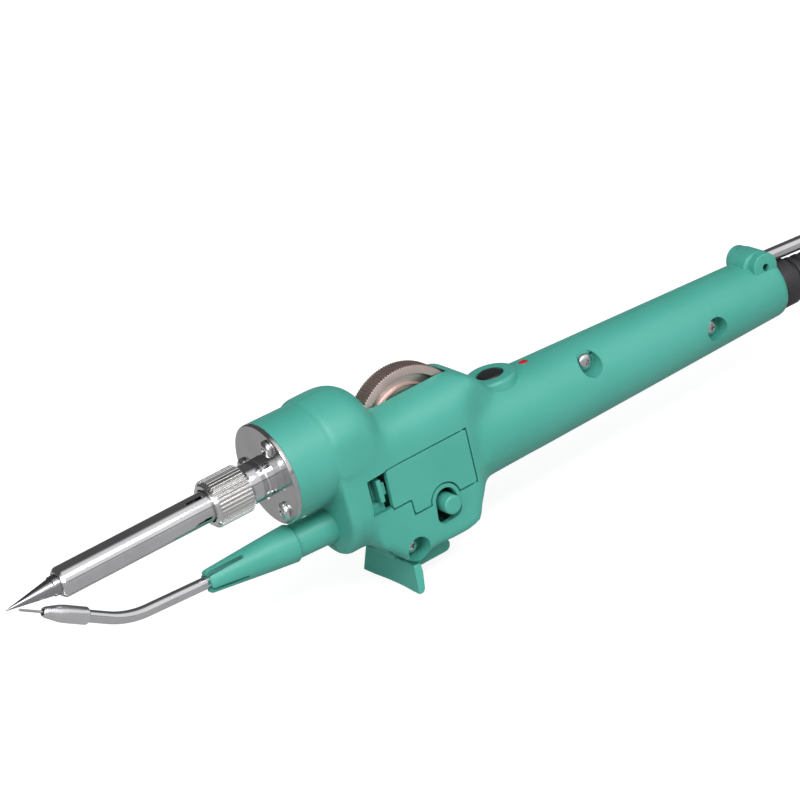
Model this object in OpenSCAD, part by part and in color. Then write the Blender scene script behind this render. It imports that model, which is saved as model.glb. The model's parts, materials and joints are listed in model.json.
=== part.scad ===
// Hand-held soldering iron with a solder-wire feeder.
// The heater runs along X with the bit toward -X and the handle toward +X.
// The side with the door faces -Y and the thumb wheel looks out of the top.
// Inside the modules X counts from the front face of the round front plate,
// and place() then moves the whole iron so that X starts at the nut's front.

/* [Heater end] */
// Diameter of the round front plate
plate_d = 33; // [30:0.5:35]
// Thickness of the front plate
plate_t = 1.5; // [1:0.1:2.5]
// Radius of the circle that the three plate screws sit on
plate_screw_pitch_r = 12.2; // [11.8:0.1:12.8]
// Diameter of the polished ferrule behind the nut
ferrule_d = 12.9; // [11:0.1:13.5]
// Length of ferrule between the nut and the front plate
ferrule_len = 8.3; // [5:0.1:12]
// Length of the knurled nut
nut_len = 13.7; // [10:0.1:18]
// Outer diameter of the knurled nut
nut_d = 15.5; // [14:0.1:18]
// Diameter of the steel barrel sleeve
sleeve_d = 9.8; // [9:0.1:10.4]
// Wall of the barrel sleeve
sleeve_wall = 0.8; // [0.5:0.1:1]
// Length of sleeve in front of the nut
sleeve_reach = 54.5; // [40:0.5:70]
// Length of the bit in front of the sleeve
bit_reach = 16.7; // [10:0.1:25]
// Diameter of the bit where it leaves the sleeve
bit_base_d = 5.2; // [4.8:0.1:6]
// Diameter of the ceramic heater rod
core_d = 4; // [3:0.1:4.2]

/* [Housing] */
// Length of the round nose behind the front plate
nose_len = 14.1; // [12:0.1:18]
// Diameter of the nose where it meets the body
nose_rear_d = 32.3; // [31:0.1:33]
// Radius of the shoulder around the heater axis
shoulder_r = 17.2; // [16.6:0.1:18]
// Width of the body across its flat sides
body_w = 30.6; // [30:0.2:33]
// Height of the body top over the heater axis
body_top = 5.6; // [5.2:0.1:6.4]
// Depth of the body bottom under the heater axis
body_bottom = 42.3; // [42:0.1:43]
// Distance from the front plate to the back wall of the body
body_rear_x = 62; // [61.6:0.1:63]
// Radius along the top edges of the body
body_top_r = 12; // [9:0.5:13]
// Depth of the lobe centre under the heater axis
lobe_drop = 19.5; // [18:0.1:21]
// Radius of the front lower lobe
lobe_r = 15.8; // [15.4:0.1:16.4]
// Wall of the housing
wall = 2.2; // [1.8:0.1:2.4]
// Distance from the front plate to the end of the handle
handle_end_x = 194; // [192:0.5:198]
// Diameter of the handle where it leaves the body
handle_front_d = 29.8; // [29:0.1:30.6]
// Diameter of the handle at its end
handle_end_d = 21.4; // [21:0.1:23]
// Downward slope of the handle in degrees
handle_tilt = 1.34; // [1:0.02:1.6]

/* [Wire feed] */
// Diameter of the thumb wheel
wheel_d = 39.2; // [38:0.1:39.6]
// Width of the thumb wheel
wheel_w = 6.7; // [6:0.1:7]
// Distance from the front plate to the wheel axle
wheel_x = 50.6; // [50:0.1:51]
// Depth of the wheel axle under the heater axis
wheel_drop = 6.65; // [6.4:0.05:7]
// Diameter of the wheel axle
axle_d = 5; // [4:0.1:5.4]
// Diameter of the solder wire
wire_d = 0.8; // [0.6:0.1:1]
// Diameter of the idler roller under the wire
idler_d = 5; // [4.6:0.1:5.4]
// Slope of the wire path in degrees
feed_tilt = 3; // [2.8:0.1:3.2]
// Diameter of the bent feed tube
tube_d = 3.9; // [3.4:0.1:4.2]
// Radius of the bend in the feed tube
tube_bend_r = 28; // [24:0.5:32]
// Angle of the bend in the feed tube in degrees
tube_bend = 28.4; // [26:0.1:29]
// Length of the slotted collet nut
collet_len = 31; // [28:0.5:34]
// Diameter of the collet nut at its back
collet_rear_d = 12.4; // [11.4:0.1:13]
// Diameter of the collet nut at its front
collet_front_d = 7.8; // [7:0.1:8.6]
// Diameter of the short bush that carries the collet nut
bush_d = 11; // [10.4:0.1:11.4]
// Length of the nozzle at the end of the feed tube
nozzle_len = 16.9; // [14:0.1:18]
// Diameter of the nozzle
nozzle_d = 5.5; // [5:0.1:6]
// Length of wire that stands out of the nozzle
wire_reach = 8; // [3:0.5:9]

/* [Controls] */
// Width of the trigger paddle
paddle_w = 29.6; // [24:0.2:30]
// Height of the trigger paddle
paddle_h = 8.6; // [7:0.1:11]
// Diameter of the round tension knob
knob_d = 6.2; // [5.4:0.1:6.6]
// Distance that the tension knob stands out of the side
knob_reach = 2.6; // [1:0.1:4]
// Diameter of the black push button
button_d = 8.4; // [7:0.1:9]
// Diameter of the raised round pad under the button
button_pad_d = 16.4; // [15:0.2:18]
// Diameter of the status lamp
lamp_d = 3; // [2.5:0.1:3.6]

/* [Rear end] */
// Radius of the round lug on top of the handle end
lug_r = 5; // [4.6:0.1:5.2]
// Width of the lug
lug_w = 10; // [9:0.2:12]
// Diameter of the steel inlet tube
inlet_d = 4.5; // [4:0.1:4.8]
// Length of the inlet tube behind the handle end
inlet_reach = 38; // [20:1:60]
// Diameter of the boot collar
boot_d = 16; // [14:0.2:16]
// Length of the ribbed boot behind the handle end
boot_len = 38; // [30:1:50]
// Diameter of the cord bore in the boot
cord_bore_d = 6.2; // [5:0.1:7]

/* [Fits] */
// Seam between the door and its frame
seam = 0.3; // [0.25:0.01:0.4]
// Radial clearance of a turning fit
run_gap = 0.05; // [0.03:0.01:0.08]
// Clearance between parts that pass each other
pass_gap = 0.3; // [0.25:0.01:0.35]

/* [Hidden] */
$fn = 64;
cut = 1;

// Places along the heater axis
nut_rear_x = -ferrule_len;
nut_front_x = nut_rear_x - nut_len;
sleeve_front_x = nut_front_x - sleeve_reach;
bit_tip_x = sleeve_front_x - bit_reach;
nose_end_x = plate_t + nose_len;

// Sizes of the heater parts
nut_lip_t = 3.8;
nut_lip_gap = 0.35;
sleeve_flange_t = 1;
sleeve_flange_r = 5.8;
sleeve_lip_t = 1;
sleeve_chamfer = 1.2;
sleeve_slot_w = 1;
sleeve_slot_len = 6.4;
sleeve_slot_inset = 1;
sleeve_slot_angles = [10, 100, 190, 280];
thread_r = 5.9;
ferrule_bore_r = 4.5;
ferrule_flange_r = 8.6;
ferrule_flange_t = 1.2;
bit_shank_r = 3.2;
bit_flange_t = 1.5;
bit_shank_len = 26;
bit_tip_r = 0.15;
bit_waist_share = 0.55;
bit_waist_r_share = 0.56;
bit_wall = 0.9;
nut_thread_x = nut_front_x + nut_lip_t + sleeve_flange_t;

// Plate screws
plate_screw_phase = 30;
screw_r = 1.4;
screw_head_r = 2.8;
screw_head_h = 1.9;
screw_hole_gap = 0.15;
cross_w = 0.8;
cross_len = 3.2;
cross_depth = 1;
plate_screw_len = 9;
plate_boss_r = 3;
plate_edge = 0.3;

// Heater holder
holder_r = ferrule_flange_r;
holder_len = 12;
nose_front_wall = 5;
core_inset = 9;

// Body outline
shoulder_fillet = 2.5;
shoulder_back_r = 10.2;
shoulder_back_x = nose_end_x + shoulder_back_r;
lobe_fillet = 1;
lobe_back_x = 33;
body_bottom_r = 2;
slope_start = 3;
slope_x = body_rear_x + slope_start;
slope_run = 14;
slope_fall = 11;
slope_shares = [[0, 0], [0.2, 0.05], [0.4, 0.18], [0.6, 0.4], [1, 1]];
slope_foot_z = -18;
slope_low_z = -27.7;
rear_top_z = -30.4;
rear_run = 6.6;
rear_fall = 11.6;
rear_shares = [[0, 0], [0.27, 0.31], [0.6, 0.76], [0.76, 0.89], [1, 1]];
chin_front_x = 24;
chin_rear_x = 33.4;
chin_rise = 8.3;
room_inset = 1.1;
taper_start = 1;
taper_len = 17;
taper_in = 7.5;
handle_root_x = 68;
handle_root_z = -19.68;
rear_wall_top_z = -30.5;
arc_steps = 10;

// Handle
handle_edge = 0.8;
handle_wall = wall * 1.05;
handle_end_wall = 6;
handle_len = (handle_end_x - handle_root_x) / cos(handle_tilt);

// Feed line: it starts under the wheel and runs forward and up
wheel_r = wheel_d / 2;
wire_r = wire_d / 2;
nip_gap = 0.25;
feed_z = -wheel_drop - wheel_r - nip_gap - wire_r;
idler_z = feed_z - wire_r - nip_gap - idler_d / 2;
idler_ahead = 0.8;
idler_x = wheel_x - idler_ahead;
idler_w = 5;
idler_axle_r = 1.2;
wheel_web_r = 16.5;
wheel_web_depth = 1.2;
wheel_hub_r = 4.4;
wheel_hub_len = 8.2;
wheel_slot_gap = 0.7;
wheel_slot_w = 7.8;
ratchet_r = 9;
ratchet_root_r = 7.6;
ratchet_w = 3;
ratchet_teeth = 18;
axle_len = 22.4;
axle_boss_r = 3.4;
axle_boss_len = 4.6;

// Guides and bush
guide_r = 2.2;
guide_tip_r = 1;
guide_tip_len = 4;
guide_bore_r = 0.75;
guide_start = 6.3;
cradle_w = 6.4;
cradle_gap = 2.4;
cradle_x = nose_end_x + wall + cradle_gap;
cradle_rib_len = 7;
cradle_end_x = 37;
cradle_up = 4.4;
cradle_down = 4.4;
rib_half_w = 4;
bush_flange_r = 7.5;
bush_flange_t = 1.8;
spigot_r = 4.3;
spigot_len = 12;
collet_slot_w = 1.1;
collet_slot_len = 12.6;
collet_wall = 1.1;
bush_back = 1.8;
bush_front_u = (wheel_x - bush_back) / cos(feed_tilt);
body_face_u = (wheel_x - nose_end_x) / cos(feed_tilt);
collet_front_u = bush_front_u + collet_len;
tube_inset = 3;
tube_start_u = bush_front_u + tube_inset;
tube_bend_u = 101;
tube_wall = 0.9;
bend_lap = 1;
bend_step = 0.04;
tube_tail = 9.5;
nozzle_overlap = 4;
nozzle_tip_r = 1.7;
nozzle_taper = 5.5;
nozzle_bore_r = 0.9;

// Tension arm and knob
arm_pivot_x = 39.5;
arm_pivot_z = -30.5;
arm_t = 2.5;
arm_side_y = -3.5;
arm_pivot_r = 3;
arm_axle_r = 3.3;
arm_tail_x = 55.2;
arm_tail_z = -35.6;
arm_tail_r = 1.4;
arm_pin_r = 1.5;
arm_boss_r = 2.3;
knob_len = 8;
knob_edge = 0.5;
slot_top_r = 3.9;
slot_low_r = 2.6;
slot_ahead = 1.4;
slot_top_x = wheel_x - slot_ahead;
slot_top_z = -28.4;
slot_low_front = 3.3;
slot_low_front_z = -33.1;
slot_low_rear = 0.6;
slot_low_rear_z = -32.6;
slot_low_spots = [[wheel_x - slot_low_front, slot_low_front_z], [wheel_x + slot_low_rear, slot_low_rear_z]];
spring_wire_r = 0.25;
spring_turns = 3;
spring_r = 1.3;
spring_x = arm_tail_x;
spring_y = -7.6;
spring_peg_z = -29.6;
spring_peg_r = 1.2;
spring_peg_y = -6;
arm_peg_y = -9.2;

// Trigger
pivot_x = 35.8;
pivot_z = -39.3;
pillar_r = 3;
hub_r = 5.2;
hub_right_y = -7.6;
hub_left_y = 10.8;
hub_small_r = 3.55;
coil_room = 4.3;
trigger_arm_t = 2.5;
trigger_arm_y = 8;
trigger_arm_r = 2.6;
pawl_x = 52.4;
pawl_z = -19.9;
pawl_pin_r = 0.7;
pawl_t = 2.2;
pawl_y = 3.8;
pawl_r = 1.35;
pawl_tip_r = 0.35;
pawl_angle = 238;
paddle_drop = 0.6;
paddle_top_z = pivot_z - hub_r - paddle_drop;
neck_share = 0.6;
paddle_lean = 11;
paddle_lean_x = -2.6;
paddle_cheek = 2.4;
paddle_dish = 0.9;
paddle_side_shares = [[-0.52, 0.08], [-0.44, 0.01], [-0.3, 0], [-0.19, 0.14], [-0.02, 0.7]];
lobe_w = 16;
lobe_end_x = 48.6;
lobe_end_z = -46.65;
lobe_end_r = 2.15;
floor_slot_x = 29.6;
floor_slot_end_x = 52.8;
trigger_spring_wire_r = 0.35;
trigger_spring_turns = 2.5;
trigger_spring_gap = 0.45;

// Door and latch, seen from the side
door_t = 2;
door_top_z = -10.1;
door_low_z = -27.8;
door_step_z = -22.8;
door_step_x = 37.7;
door_front_x = 31.6;
door_rear_x = 62;
door_lean = 0.7;
door_arc_r = 5.6;
hinge_x = 60.6;
hinge_inset = 0.7;
hinge_y = -body_w / 2 + hinge_inset;
hinge_pin_r = 0.5;
hinge_pin_len = 1.2;
recess_front_x = 23.8;
recess_top_z = -10.2;
recess_low_z = -22.2;
recess_sunk = 2.9;
recess_floor_y = -body_w / 2 + recess_sunk;
recess_base = max(body_w / 2, lobe_r);
recess_floor_t = 1.5;
latch_x = 27.6;
latch_t = 1.6;
latch_top_z = -12;
latch_low_z = -19.5;
latch_travel = 1.5;
latch_foot_t = 1.2;
latch_sunk = 0.7;
latch_nose_t = 1;
latch_nose_h = 4;

// Housing screws: X, Z and the Y where the head seats
pocket_r = 4;
pocket_wall = 0.9;
screw_pillar_r = 3;
low_seat_y = -9;
grip_seat_y = -7;
grip_screw_x = 114;
grip_screw_z = -12.8;
end_screw_x = 162.5;
end_screw_z = -22.6;
screw_places = [
    [pivot_x, pivot_z, low_seat_y],
    [grip_screw_x, grip_screw_z, grip_seat_y],
    [end_screw_x, end_screw_z, grip_seat_y]
];
screw_len = 12;

// Board, button and lamp
pad_x = 84;
pad_top_z = -4.7;
pad_edge = 1;
pad_skin = 2.2;
cap_flange = 0.9;
cap_flange_t = 0.8;
cap_rise = 0.6;
cap_travel = 0.6;
switch_w = 6;
switch_h = 3.4;
plunger_r = 1.6;
plunger_h = 0.9;
board_t = 1.6;
board_w = 16;
board_x = 77;
board_end_x = 101;
lamp_x = 96.7;
lamp_flange = 0.3;
rib_t = 2;
board_top_z = pad_top_z - pad_skin - cap_flange_t - cap_travel - plunger_h - switch_h;

// Lug, inlet tube and boot
lug_x = 188.8;
lug_z = -13.2;
inlet_tilt = 4.5;
inlet_front_x = 184;
inlet_bore_r = 1.3;
lug_hole_r = 1.25;
liner_r = 1.6;
liner_bore_r = 1;
liner_start_x = 63.5;
liner_start_z = feed_z - (liner_start_x - wheel_x) * tan(feed_tilt);
liner_end_x = 183.4;
liner_end_z = -13.3;
boot_drop = 2;
boot_collar_len = 7;
boot_end_r = 4.6;
boot_neck_r = 5.4;
boot_flange_r = 7;
boot_flange_t = 1.6;
boot_rib_r = 7;
boot_groove = 1;
boot_ribs = 9;

// Points of an arc in a plane
function arc_points(cx, cy, r, a0, a1, steps = arc_steps) =
    [for (i = [0 : steps]) let (a = a0 + (a1 - a0) * i / steps) [cx + r * cos(a), cy + r * sin(a)]];

// Ring of points around one place of a coil whose axis is Z
function coil_ring(radius, wire, rise, turn, sides) =
    let (a = 360 * turn)
    [for (k = [0 : sides - 1])
        let (b = 360 * k / sides, d = radius + wire * cos(b))
        [d * cos(a), d * sin(a), rise * turn + wire * sin(b)]];

module place() translate([-nut_front_x, 0, 0]) children();

// Turns a shape that stands on Z so that it runs along +X
module along_x(x) translate([x, 0, 0]) rotate([0, 90, 0]) children();

// Turns a shape that stands on Z so that it runs along +Y, from the given side
module along_y(x, y, z) translate([x, y, z]) rotate([-90, 0, 0]) children();

// Extrudes a side view, drawn in X and Z, from y0 to y1
module side_slab(y0, y1) translate([0, y1, 0]) rotate([90, 0, 0]) linear_extrude(y1 - y0) children();

// Frame of the wire path: +Z runs forward along the wire and +X points up
module feed_frame(u = 0) translate([wheel_x, 0, feed_z]) rotate([0, feed_tilt - 90, 0])
    translate([0, 0, u]) children();

// Frame of the handle: +Z runs back along the handle axis
module handle_frame() translate([handle_root_x, 0, handle_root_z]) rotate([0, 90 + handle_tilt, 0])
    children();

// Frame of the inlet tube: +Z runs back along the tube
module inlet_frame() translate([lug_x, 0, lug_z]) rotate([0, 90 + inlet_tilt, 0])
    translate([0, 0, (inlet_front_x - lug_x) / cos(inlet_tilt)]) children();

// One unbroken coil with its axis on Z
module coil(radius, wire, turns, rise, steps = 8, sides = 6) {
    rings = turns * steps;
    points = [for (i = [0 : rings]) each coil_ring(radius, wire, rise, i / steps, sides)];
    sides_up = [for (i = [0 : rings - 1], k = [0 : sides - 1])
        let (a = i * sides + k, b = i * sides + (k + 1) % sides) [a, b, b + sides]];
    sides_down = [for (i = [0 : rings - 1], k = [0 : sides - 1])
        let (a = i * sides + k, b = i * sides + (k + 1) % sides) [a, b + sides, a + sides]];
    lid = [for (k = [sides - 1 : -1 : 0]) k];
    end = [for (k = [0 : sides - 1]) rings * sides + k];
    polyhedron(points, concat(sides_up, sides_down, [lid, end]));
}

// Pan head with a cross recess, head toward +Z, seat at zero
module pan_screw(length) {
    difference() {
        union() {
            cylinder(h = screw_head_h, r1 = screw_head_r, r2 = screw_head_r * 0.8);
            translate([0, 0, -length]) cylinder(h = length + cut / 2, r = screw_r);
        }
        for (a = [0, 90]) rotate([0, 0, a])
            translate([-cross_len / 2, -cross_w / 2, screw_head_h - cross_depth])
                cube([cross_len, cross_w, cross_depth + cut]);
    }
}

module plate_screw_spots() for (i = [0 : 2]) rotate([plate_screw_phase + 120 * i, 0, 0])
    translate([0, 0, plate_screw_pitch_r]) children();

// Outer shape of the upper front body, turned around the heater axis
module shoulder_turned() rotate_extrude() polygon(concat(
    [[0, nose_end_x]],
    [for (p = arc_points(nose_end_x + shoulder_fillet, shoulder_r - shoulder_fillet, shoulder_fillet,
        180, 90)) [p[1], p[0]]],
    [for (p = arc_points(shoulder_back_x, shoulder_r - shoulder_back_r, shoulder_back_r, 90, 0))
        [p[1], p[0]]],
    [[0, shoulder_back_x + shoulder_back_r]]));

// Outer shape of the lower front lobe, turned around its own axis
module lobe_turned() rotate_extrude() polygon(concat(
    [[0, nose_end_x]],
    [for (p = arc_points(nose_end_x + lobe_fillet, lobe_r - lobe_fillet, lobe_fillet, 180, 90))
        [p[1], p[0]]],
    [[lobe_r, lobe_back_x], [0, lobe_back_x]]));

// Side view of the main body
module body_side(inset = 0) polygon(concat(
    [[chin_front_x, body_top - inset]],
    [for (p = slope_shares) [slope_x - inset + slope_run * p[0], body_top - inset - slope_fall * p[1]]],
    [[slope_x - inset + slope_run, slope_foot_z + inset], [slope_x - inset, slope_low_z + inset]],
    [for (p = rear_shares) [body_rear_x - inset - rear_run * p[0],
        max(rear_top_z - rear_fall * p[1], -body_bottom + inset)]],
    [[chin_rear_x + inset / 2, -body_bottom + inset],
        [chin_front_x + inset / 2, -body_bottom + chin_rise + inset]]));

// Cross section of the main body, drawn in Y and Z
module body_section(inset = 0) {
    half = body_w / 2 - inset;
    top_r = body_top_r - inset;
    low_r = body_bottom_r - inset / 2;
    top = body_top - inset;
    low = -body_bottom + inset;
    polygon(concat(
        arc_points(half - top_r, top - top_r, top_r, 0, 90),
        arc_points(-half + top_r, top - top_r, top_r, 90, 180),
        arc_points(-half + low_r, low + low_r, low_r, 180, 270),
        arc_points(half - low_r, low + low_r, low_r, 270, 360)));
}

// The body narrows behind the door, toward the handle
module body_plan(inset = 0) {
    half = body_w / 2 - inset;
    start = body_rear_x + taper_start - inset;
    polygon([[0, -half], [start, -half], [start + taper_len, -half + taper_in],
        [start + taper_len, half - taper_in], [start, half], [0, half]]);
}

module body_block(inset = 0) intersection() {
    side_slab(-body_w, body_w) body_side(inset);
    rotate([90, 0, 90]) linear_extrude(handle_end_x) body_section(inset);
    translate([0, 0, -handle_end_x]) linear_extrude(2 * handle_end_x) body_plan(inset);
}

module handle_cone() handle_frame() {
    cylinder(h = handle_len - handle_edge, d1 = handle_front_d, d2 = handle_end_d);
    translate([0, 0, handle_len - handle_edge])
        cylinder(h = handle_edge, d1 = handle_end_d, d2 = handle_end_d - 2 * handle_edge);
}

module lug_form(r, w) {
    along_y(lug_x, -w / 2, lug_z) cylinder(h = w, r = r);
    translate([lug_x - r, -w / 2, lug_z - 2 * r]) cube([2 * r, w, 2 * r]);
}

module housing_outer() {
    along_x(plate_t) cylinder(h = nose_len + cut, d1 = plate_d, d2 = nose_rear_d);
    rotate([0, 90, 0]) shoulder_turned();
    translate([0, 0, -lobe_drop]) rotate([0, 90, 0]) lobe_turned();
    translate([nose_end_x + lobe_fillet, -lobe_r, -lobe_drop])
        cube([lobe_back_x - nose_end_x - lobe_fillet, 2 * lobe_r, lobe_drop]);
    translate([nose_end_x, -lobe_r + lobe_fillet, -lobe_drop])
        cube([lobe_fillet + cut, 2 * lobe_r - 2 * lobe_fillet, lobe_drop]);
    body_block();
    handle_cone();
    translate([pad_x, 0, handle_root_z]) {
        cylinder(h = pad_top_z - handle_root_z - pad_edge, d = button_pad_d);
        translate([0, 0, pad_top_z - handle_root_z - pad_edge])
            cylinder(h = pad_edge, d1 = button_pad_d, d2 = button_pad_d - 2 * pad_edge);
    }
    lug_form(lug_r, lug_w);
    along_y(pivot_x, -body_w / 2, pivot_z) cylinder(h = body_w, r = pocket_r + pocket_wall);
}

// Room inside the two halves
module housing_room() {
    along_x(nose_front_wall)
        cylinder(h = shoulder_back_x - nose_front_wall, r = shoulder_r - wall - room_inset);
    translate([nose_end_x + wall, 0, -lobe_drop]) rotate([0, 90, 0])
        cylinder(h = lobe_back_x - nose_end_x - wall, r = lobe_r - wall);
    translate([nose_end_x + wall, -lobe_r + wall, -lobe_drop])
        cube([lobe_back_x - nose_end_x - wall, 2 * lobe_r - 2 * wall, lobe_drop]);
    body_block(wall);
    handle_frame() cylinder(h = handle_len - handle_end_wall, d1 = handle_front_d - 2 * handle_wall,
        d2 = handle_end_d - 2 * handle_wall);
}

module teardrop() hull() {
    translate([slot_top_x, slot_top_z]) circle(r = slot_top_r);
    for (p = slot_low_spots) translate(p) circle(r = slot_low_r);
}

module door_outline(grow = 0) difference() {
    polygon([
        [door_front_x - grow, door_top_z + grow],
        [door_rear_x + grow, door_top_z + grow],
        [door_rear_x - door_lean + grow, door_low_z - grow],
        [door_step_x - grow, door_low_z - grow],
        [door_step_x - grow, door_step_z - grow],
        [door_front_x - door_lean - grow, door_step_z - grow]]);
    translate([slot_top_x, slot_top_z]) circle(r = door_arc_r - grow);
}

module recess_outline() polygon([
    [recess_front_x + door_lean / 2, recess_top_z],
    [door_front_x, door_top_z + seam],
    [door_front_x - door_lean, recess_low_z],
    [recess_front_x - door_lean / 2, recess_low_z]]);

// Ribs, bosses and pillars inside; the wide base of each lies in the wall
module housing_inside() {
    plate_screw_spots() along_x(plate_t) cylinder(h = plate_screw_len + plate_t, r = plate_boss_r);
    for (s = [-1, 1]) along_y(wheel_x, s > 0 ? body_w / 2 - wall - axle_boss_len : -body_w / 2 + wall / 2,
        -wheel_drop) cylinder(h = axle_boss_len + wall / 2, r = axle_boss_r);
    translate([cradle_x, -cradle_w / 2, feed_z - cradle_down + (wheel_x - cradle_end_x) * sin(feed_tilt)])
        cube([cradle_end_x - cradle_x, cradle_w, cradle_up + cradle_down]);
    translate([cradle_x, -cradle_w / 2, -lobe_drop - lobe_r + wall / 2])
        cube([cradle_rib_len, cradle_w, lobe_drop + lobe_r + feed_z]);
    translate([body_rear_x - wall, -rib_half_w, rear_wall_top_z - wall])
        cube([wall, 2 * rib_half_w, feed_z - rear_wall_top_z + wall + 1.5 * guide_r]);
    for (p = screw_places) along_y(p[0], -body_w / 2, p[1]) cylinder(h = body_w, r = screw_pillar_r);
    along_y(pivot_x, -body_w / 2, pivot_z) cylinder(h = body_w / 2 + low_seat_y + cut, r = pocket_r + pocket_wall);
    for (p = [screw_places[1], screw_places[2]]) along_y(p[0], -body_w / 2, p[1])
        cylinder(h = body_w / 2 + p[2] + wall, r = pocket_r + pocket_wall);
    along_y(arm_pivot_x, -body_w / 2 + wall / 2, arm_pivot_z)
        cylinder(h = body_w / 2 - wall / 2 + arm_side_y - arm_t - pass_gap, r = arm_pivot_r);
    along_y(spring_x, -body_w / 2 + wall / 2, spring_peg_z)
        cylinder(h = body_w / 2 - wall / 2 + spring_peg_y, r = spring_peg_r);
    translate([recess_front_x - wall, -recess_base + wall / 2, recess_low_z - wall])
        cube([latch_x + latch_t + pass_gap - recess_front_x + wall,
            recess_base - wall / 2 + recess_floor_y + recess_floor_t, recess_top_z - recess_low_z + 2 * wall]);
    for (x = [board_x + rib_t, board_end_x - 2 * rib_t])
        translate([x, -board_w / 2 - 2 * rib_t, board_top_z - board_t - rib_t])
            difference() {
                cube([rib_t, board_w + 4 * rib_t, rib_t]);
                translate([-cut, 3 * rib_t, -cut]) cube([rib_t + 2 * cut, board_w - 2 * rib_t, rib_t + 2 * cut]);
            }
}

// Everything that is cut out of both halves
module housing_cuts() {
    along_x(-cut) cylinder(h = nose_front_wall + 2 * cut, r = holder_r + pass_gap);
    along_x(-cut) cylinder(h = plate_t + cut, r = plate_d);
    plate_screw_spots() along_x(-cut)
        cylinder(h = plate_screw_len + plate_t + cut, r = screw_r + screw_hole_gap);
    along_y(wheel_x, -wheel_slot_w / 2, -wheel_drop) cylinder(h = wheel_slot_w, r = wheel_r + wheel_slot_gap);
    along_y(wheel_x, -axle_len / 2 - pass_gap, -wheel_drop)
        cylinder(h = axle_len + 2 * pass_gap, d = axle_d + 2 * run_gap);
    feed_frame(-wall - guide_start - guide_tip_len - cut)
        cylinder(h = bush_front_u, r = guide_r + run_gap);
    feed_frame(body_face_u - wall - bush_flange_t - pass_gap)
        cylinder(h = bush_flange_t + pass_gap + cut / 2, r = bush_flange_r + pass_gap);
    feed_frame(body_face_u - wall - cut) cylinder(h = 4 * wall, d = bush_d + 2 * run_gap);
    for (p = screw_places) along_y(p[0], p[2] - cut, p[1])
        cylinder(h = screw_len + cut, r = screw_r + screw_hole_gap);
    for (p = screw_places) along_y(p[0], -body_w / 2 - cut, p[1])
        cylinder(h = body_w / 2 + cut + p[2], r = pocket_r);
    translate([pad_x, 0, board_top_z]) cylinder(h = -board_top_z, d = button_d + 2 * pass_gap);
    translate([pad_x, 0, board_top_z])
        cylinder(h = pad_top_z - pad_skin - board_top_z, d = button_d + 2 * cap_flange + 2 * pass_gap);
    translate([lamp_x, 0, board_top_z]) cylinder(h = -board_top_z, d = lamp_d + 2 * run_gap);
    inlet_frame() translate([0, 0, -run_gap]) cylinder(h = handle_end_x, d = inlet_d + 2 * run_gap);
    liner_frame() cylinder(h = liner_length() + cut, r = liner_r + run_gap);
    boot_frame() translate([0, 0, -handle_end_wall - cut]) cylinder(h = handle_end_wall + 2 * cut,
        r = boot_neck_r + run_gap);
    boot_frame() translate([0, 0, -handle_end_wall - boot_flange_t - 2 * pass_gap])
        cylinder(h = boot_flange_t + 2 * pass_gap, r = boot_flange_r + pass_gap);
}

// Opening in the floor for the trigger, with room around the trigger's hub
module trigger_opening() {
    low_z = pivot_z - hub_r - cut;
    width = hub_left_y - hub_right_y + 2 * pass_gap;
    translate([floor_slot_x, hub_right_y - pass_gap, low_z])
        cube([floor_slot_end_x - floor_slot_x, width, -body_bottom + wall + cut - low_z]);
    along_y(pivot_x, hub_right_y - pass_gap, pivot_z) cylinder(h = width, r = hub_r + pass_gap);
}

module housing_shell() {
    difference() {
        union() {
            difference() {
                housing_outer();
                difference() {
                    housing_room();
                    housing_inside();
                }
                trigger_opening();
            }
            along_y(pivot_x, hub_right_y - wall, pivot_z)
                cylinder(h = hub_left_y - hub_right_y + 2 * wall, r = pillar_r);
        }
        housing_cuts();
    }
}

function liner_length() = norm([liner_end_x - liner_start_x, liner_end_z - liner_start_z]);
module liner_frame() translate([liner_start_x, 0, liner_start_z])
    rotate([0, 90 - atan2(liner_end_z - liner_start_z, liner_end_x - liner_start_x), 0]) children();

// Frame of the cord boot: starts at the handle end, +Z runs back
module boot_frame() handle_frame() translate([boot_drop, 0, handle_len]) children();

module housing_right() color("mediumaquamarine") difference() {
    intersection() {
        housing_shell();
        translate([-handle_end_x, -body_w, -handle_end_x])
            cube([3 * handle_end_x, body_w, 2 * handle_end_x]);
    }
    side_slab(-body_w, recess_floor_y) {
        door_outline(seam);
        recess_outline();
    }
    side_slab(-body_w, -body_w / 2 + wall + cut) teardrop();
    side_slab(recess_floor_y - cut, recess_floor_y + recess_floor_t + cut)
        translate([latch_x - latch_travel - pass_gap, latch_low_z - pass_gap])
            square([wall * 3, latch_top_z - latch_low_z + 2 * pass_gap]);
    for (z = [door_top_z - cut, door_low_z - hinge_pin_len - pass_gap])
        translate([hinge_x, hinge_y, z])
            cylinder(h = hinge_pin_len + pass_gap + cut, r = hinge_pin_r + run_gap);
    along_y(lug_x, -lug_w, lug_z) cylinder(h = lug_w, r = lug_hole_r);
    along_y(arm_pivot_x, -body_w / 2 + wall / 2, arm_pivot_z) cylinder(h = body_w / 2, r = arm_pin_r);
}

module housing_left() color("mediumaquamarine") intersection() {
    housing_shell();
    translate([-handle_end_x, 0, -handle_end_x]) cube([3 * handle_end_x, body_w, 2 * handle_end_x]);
}

module front_plate() color("gainsboro") difference() {
    union() {
        along_x(0) cylinder(h = plate_edge, d1 = plate_d - 2 * plate_edge, d2 = plate_d);
        along_x(plate_edge) cylinder(h = plate_t - plate_edge, d = plate_d);
    }
    along_x(-cut) cylinder(h = plate_t + 2 * cut, d = ferrule_d + 2 * run_gap);
    plate_screw_spots() along_x(-cut) cylinder(h = plate_t + 2 * cut, r = screw_r + screw_hole_gap);
}

module plate_screws() color("silver") plate_screw_spots() rotate([0, -90, 0])
    pan_screw(plate_screw_len);

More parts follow.
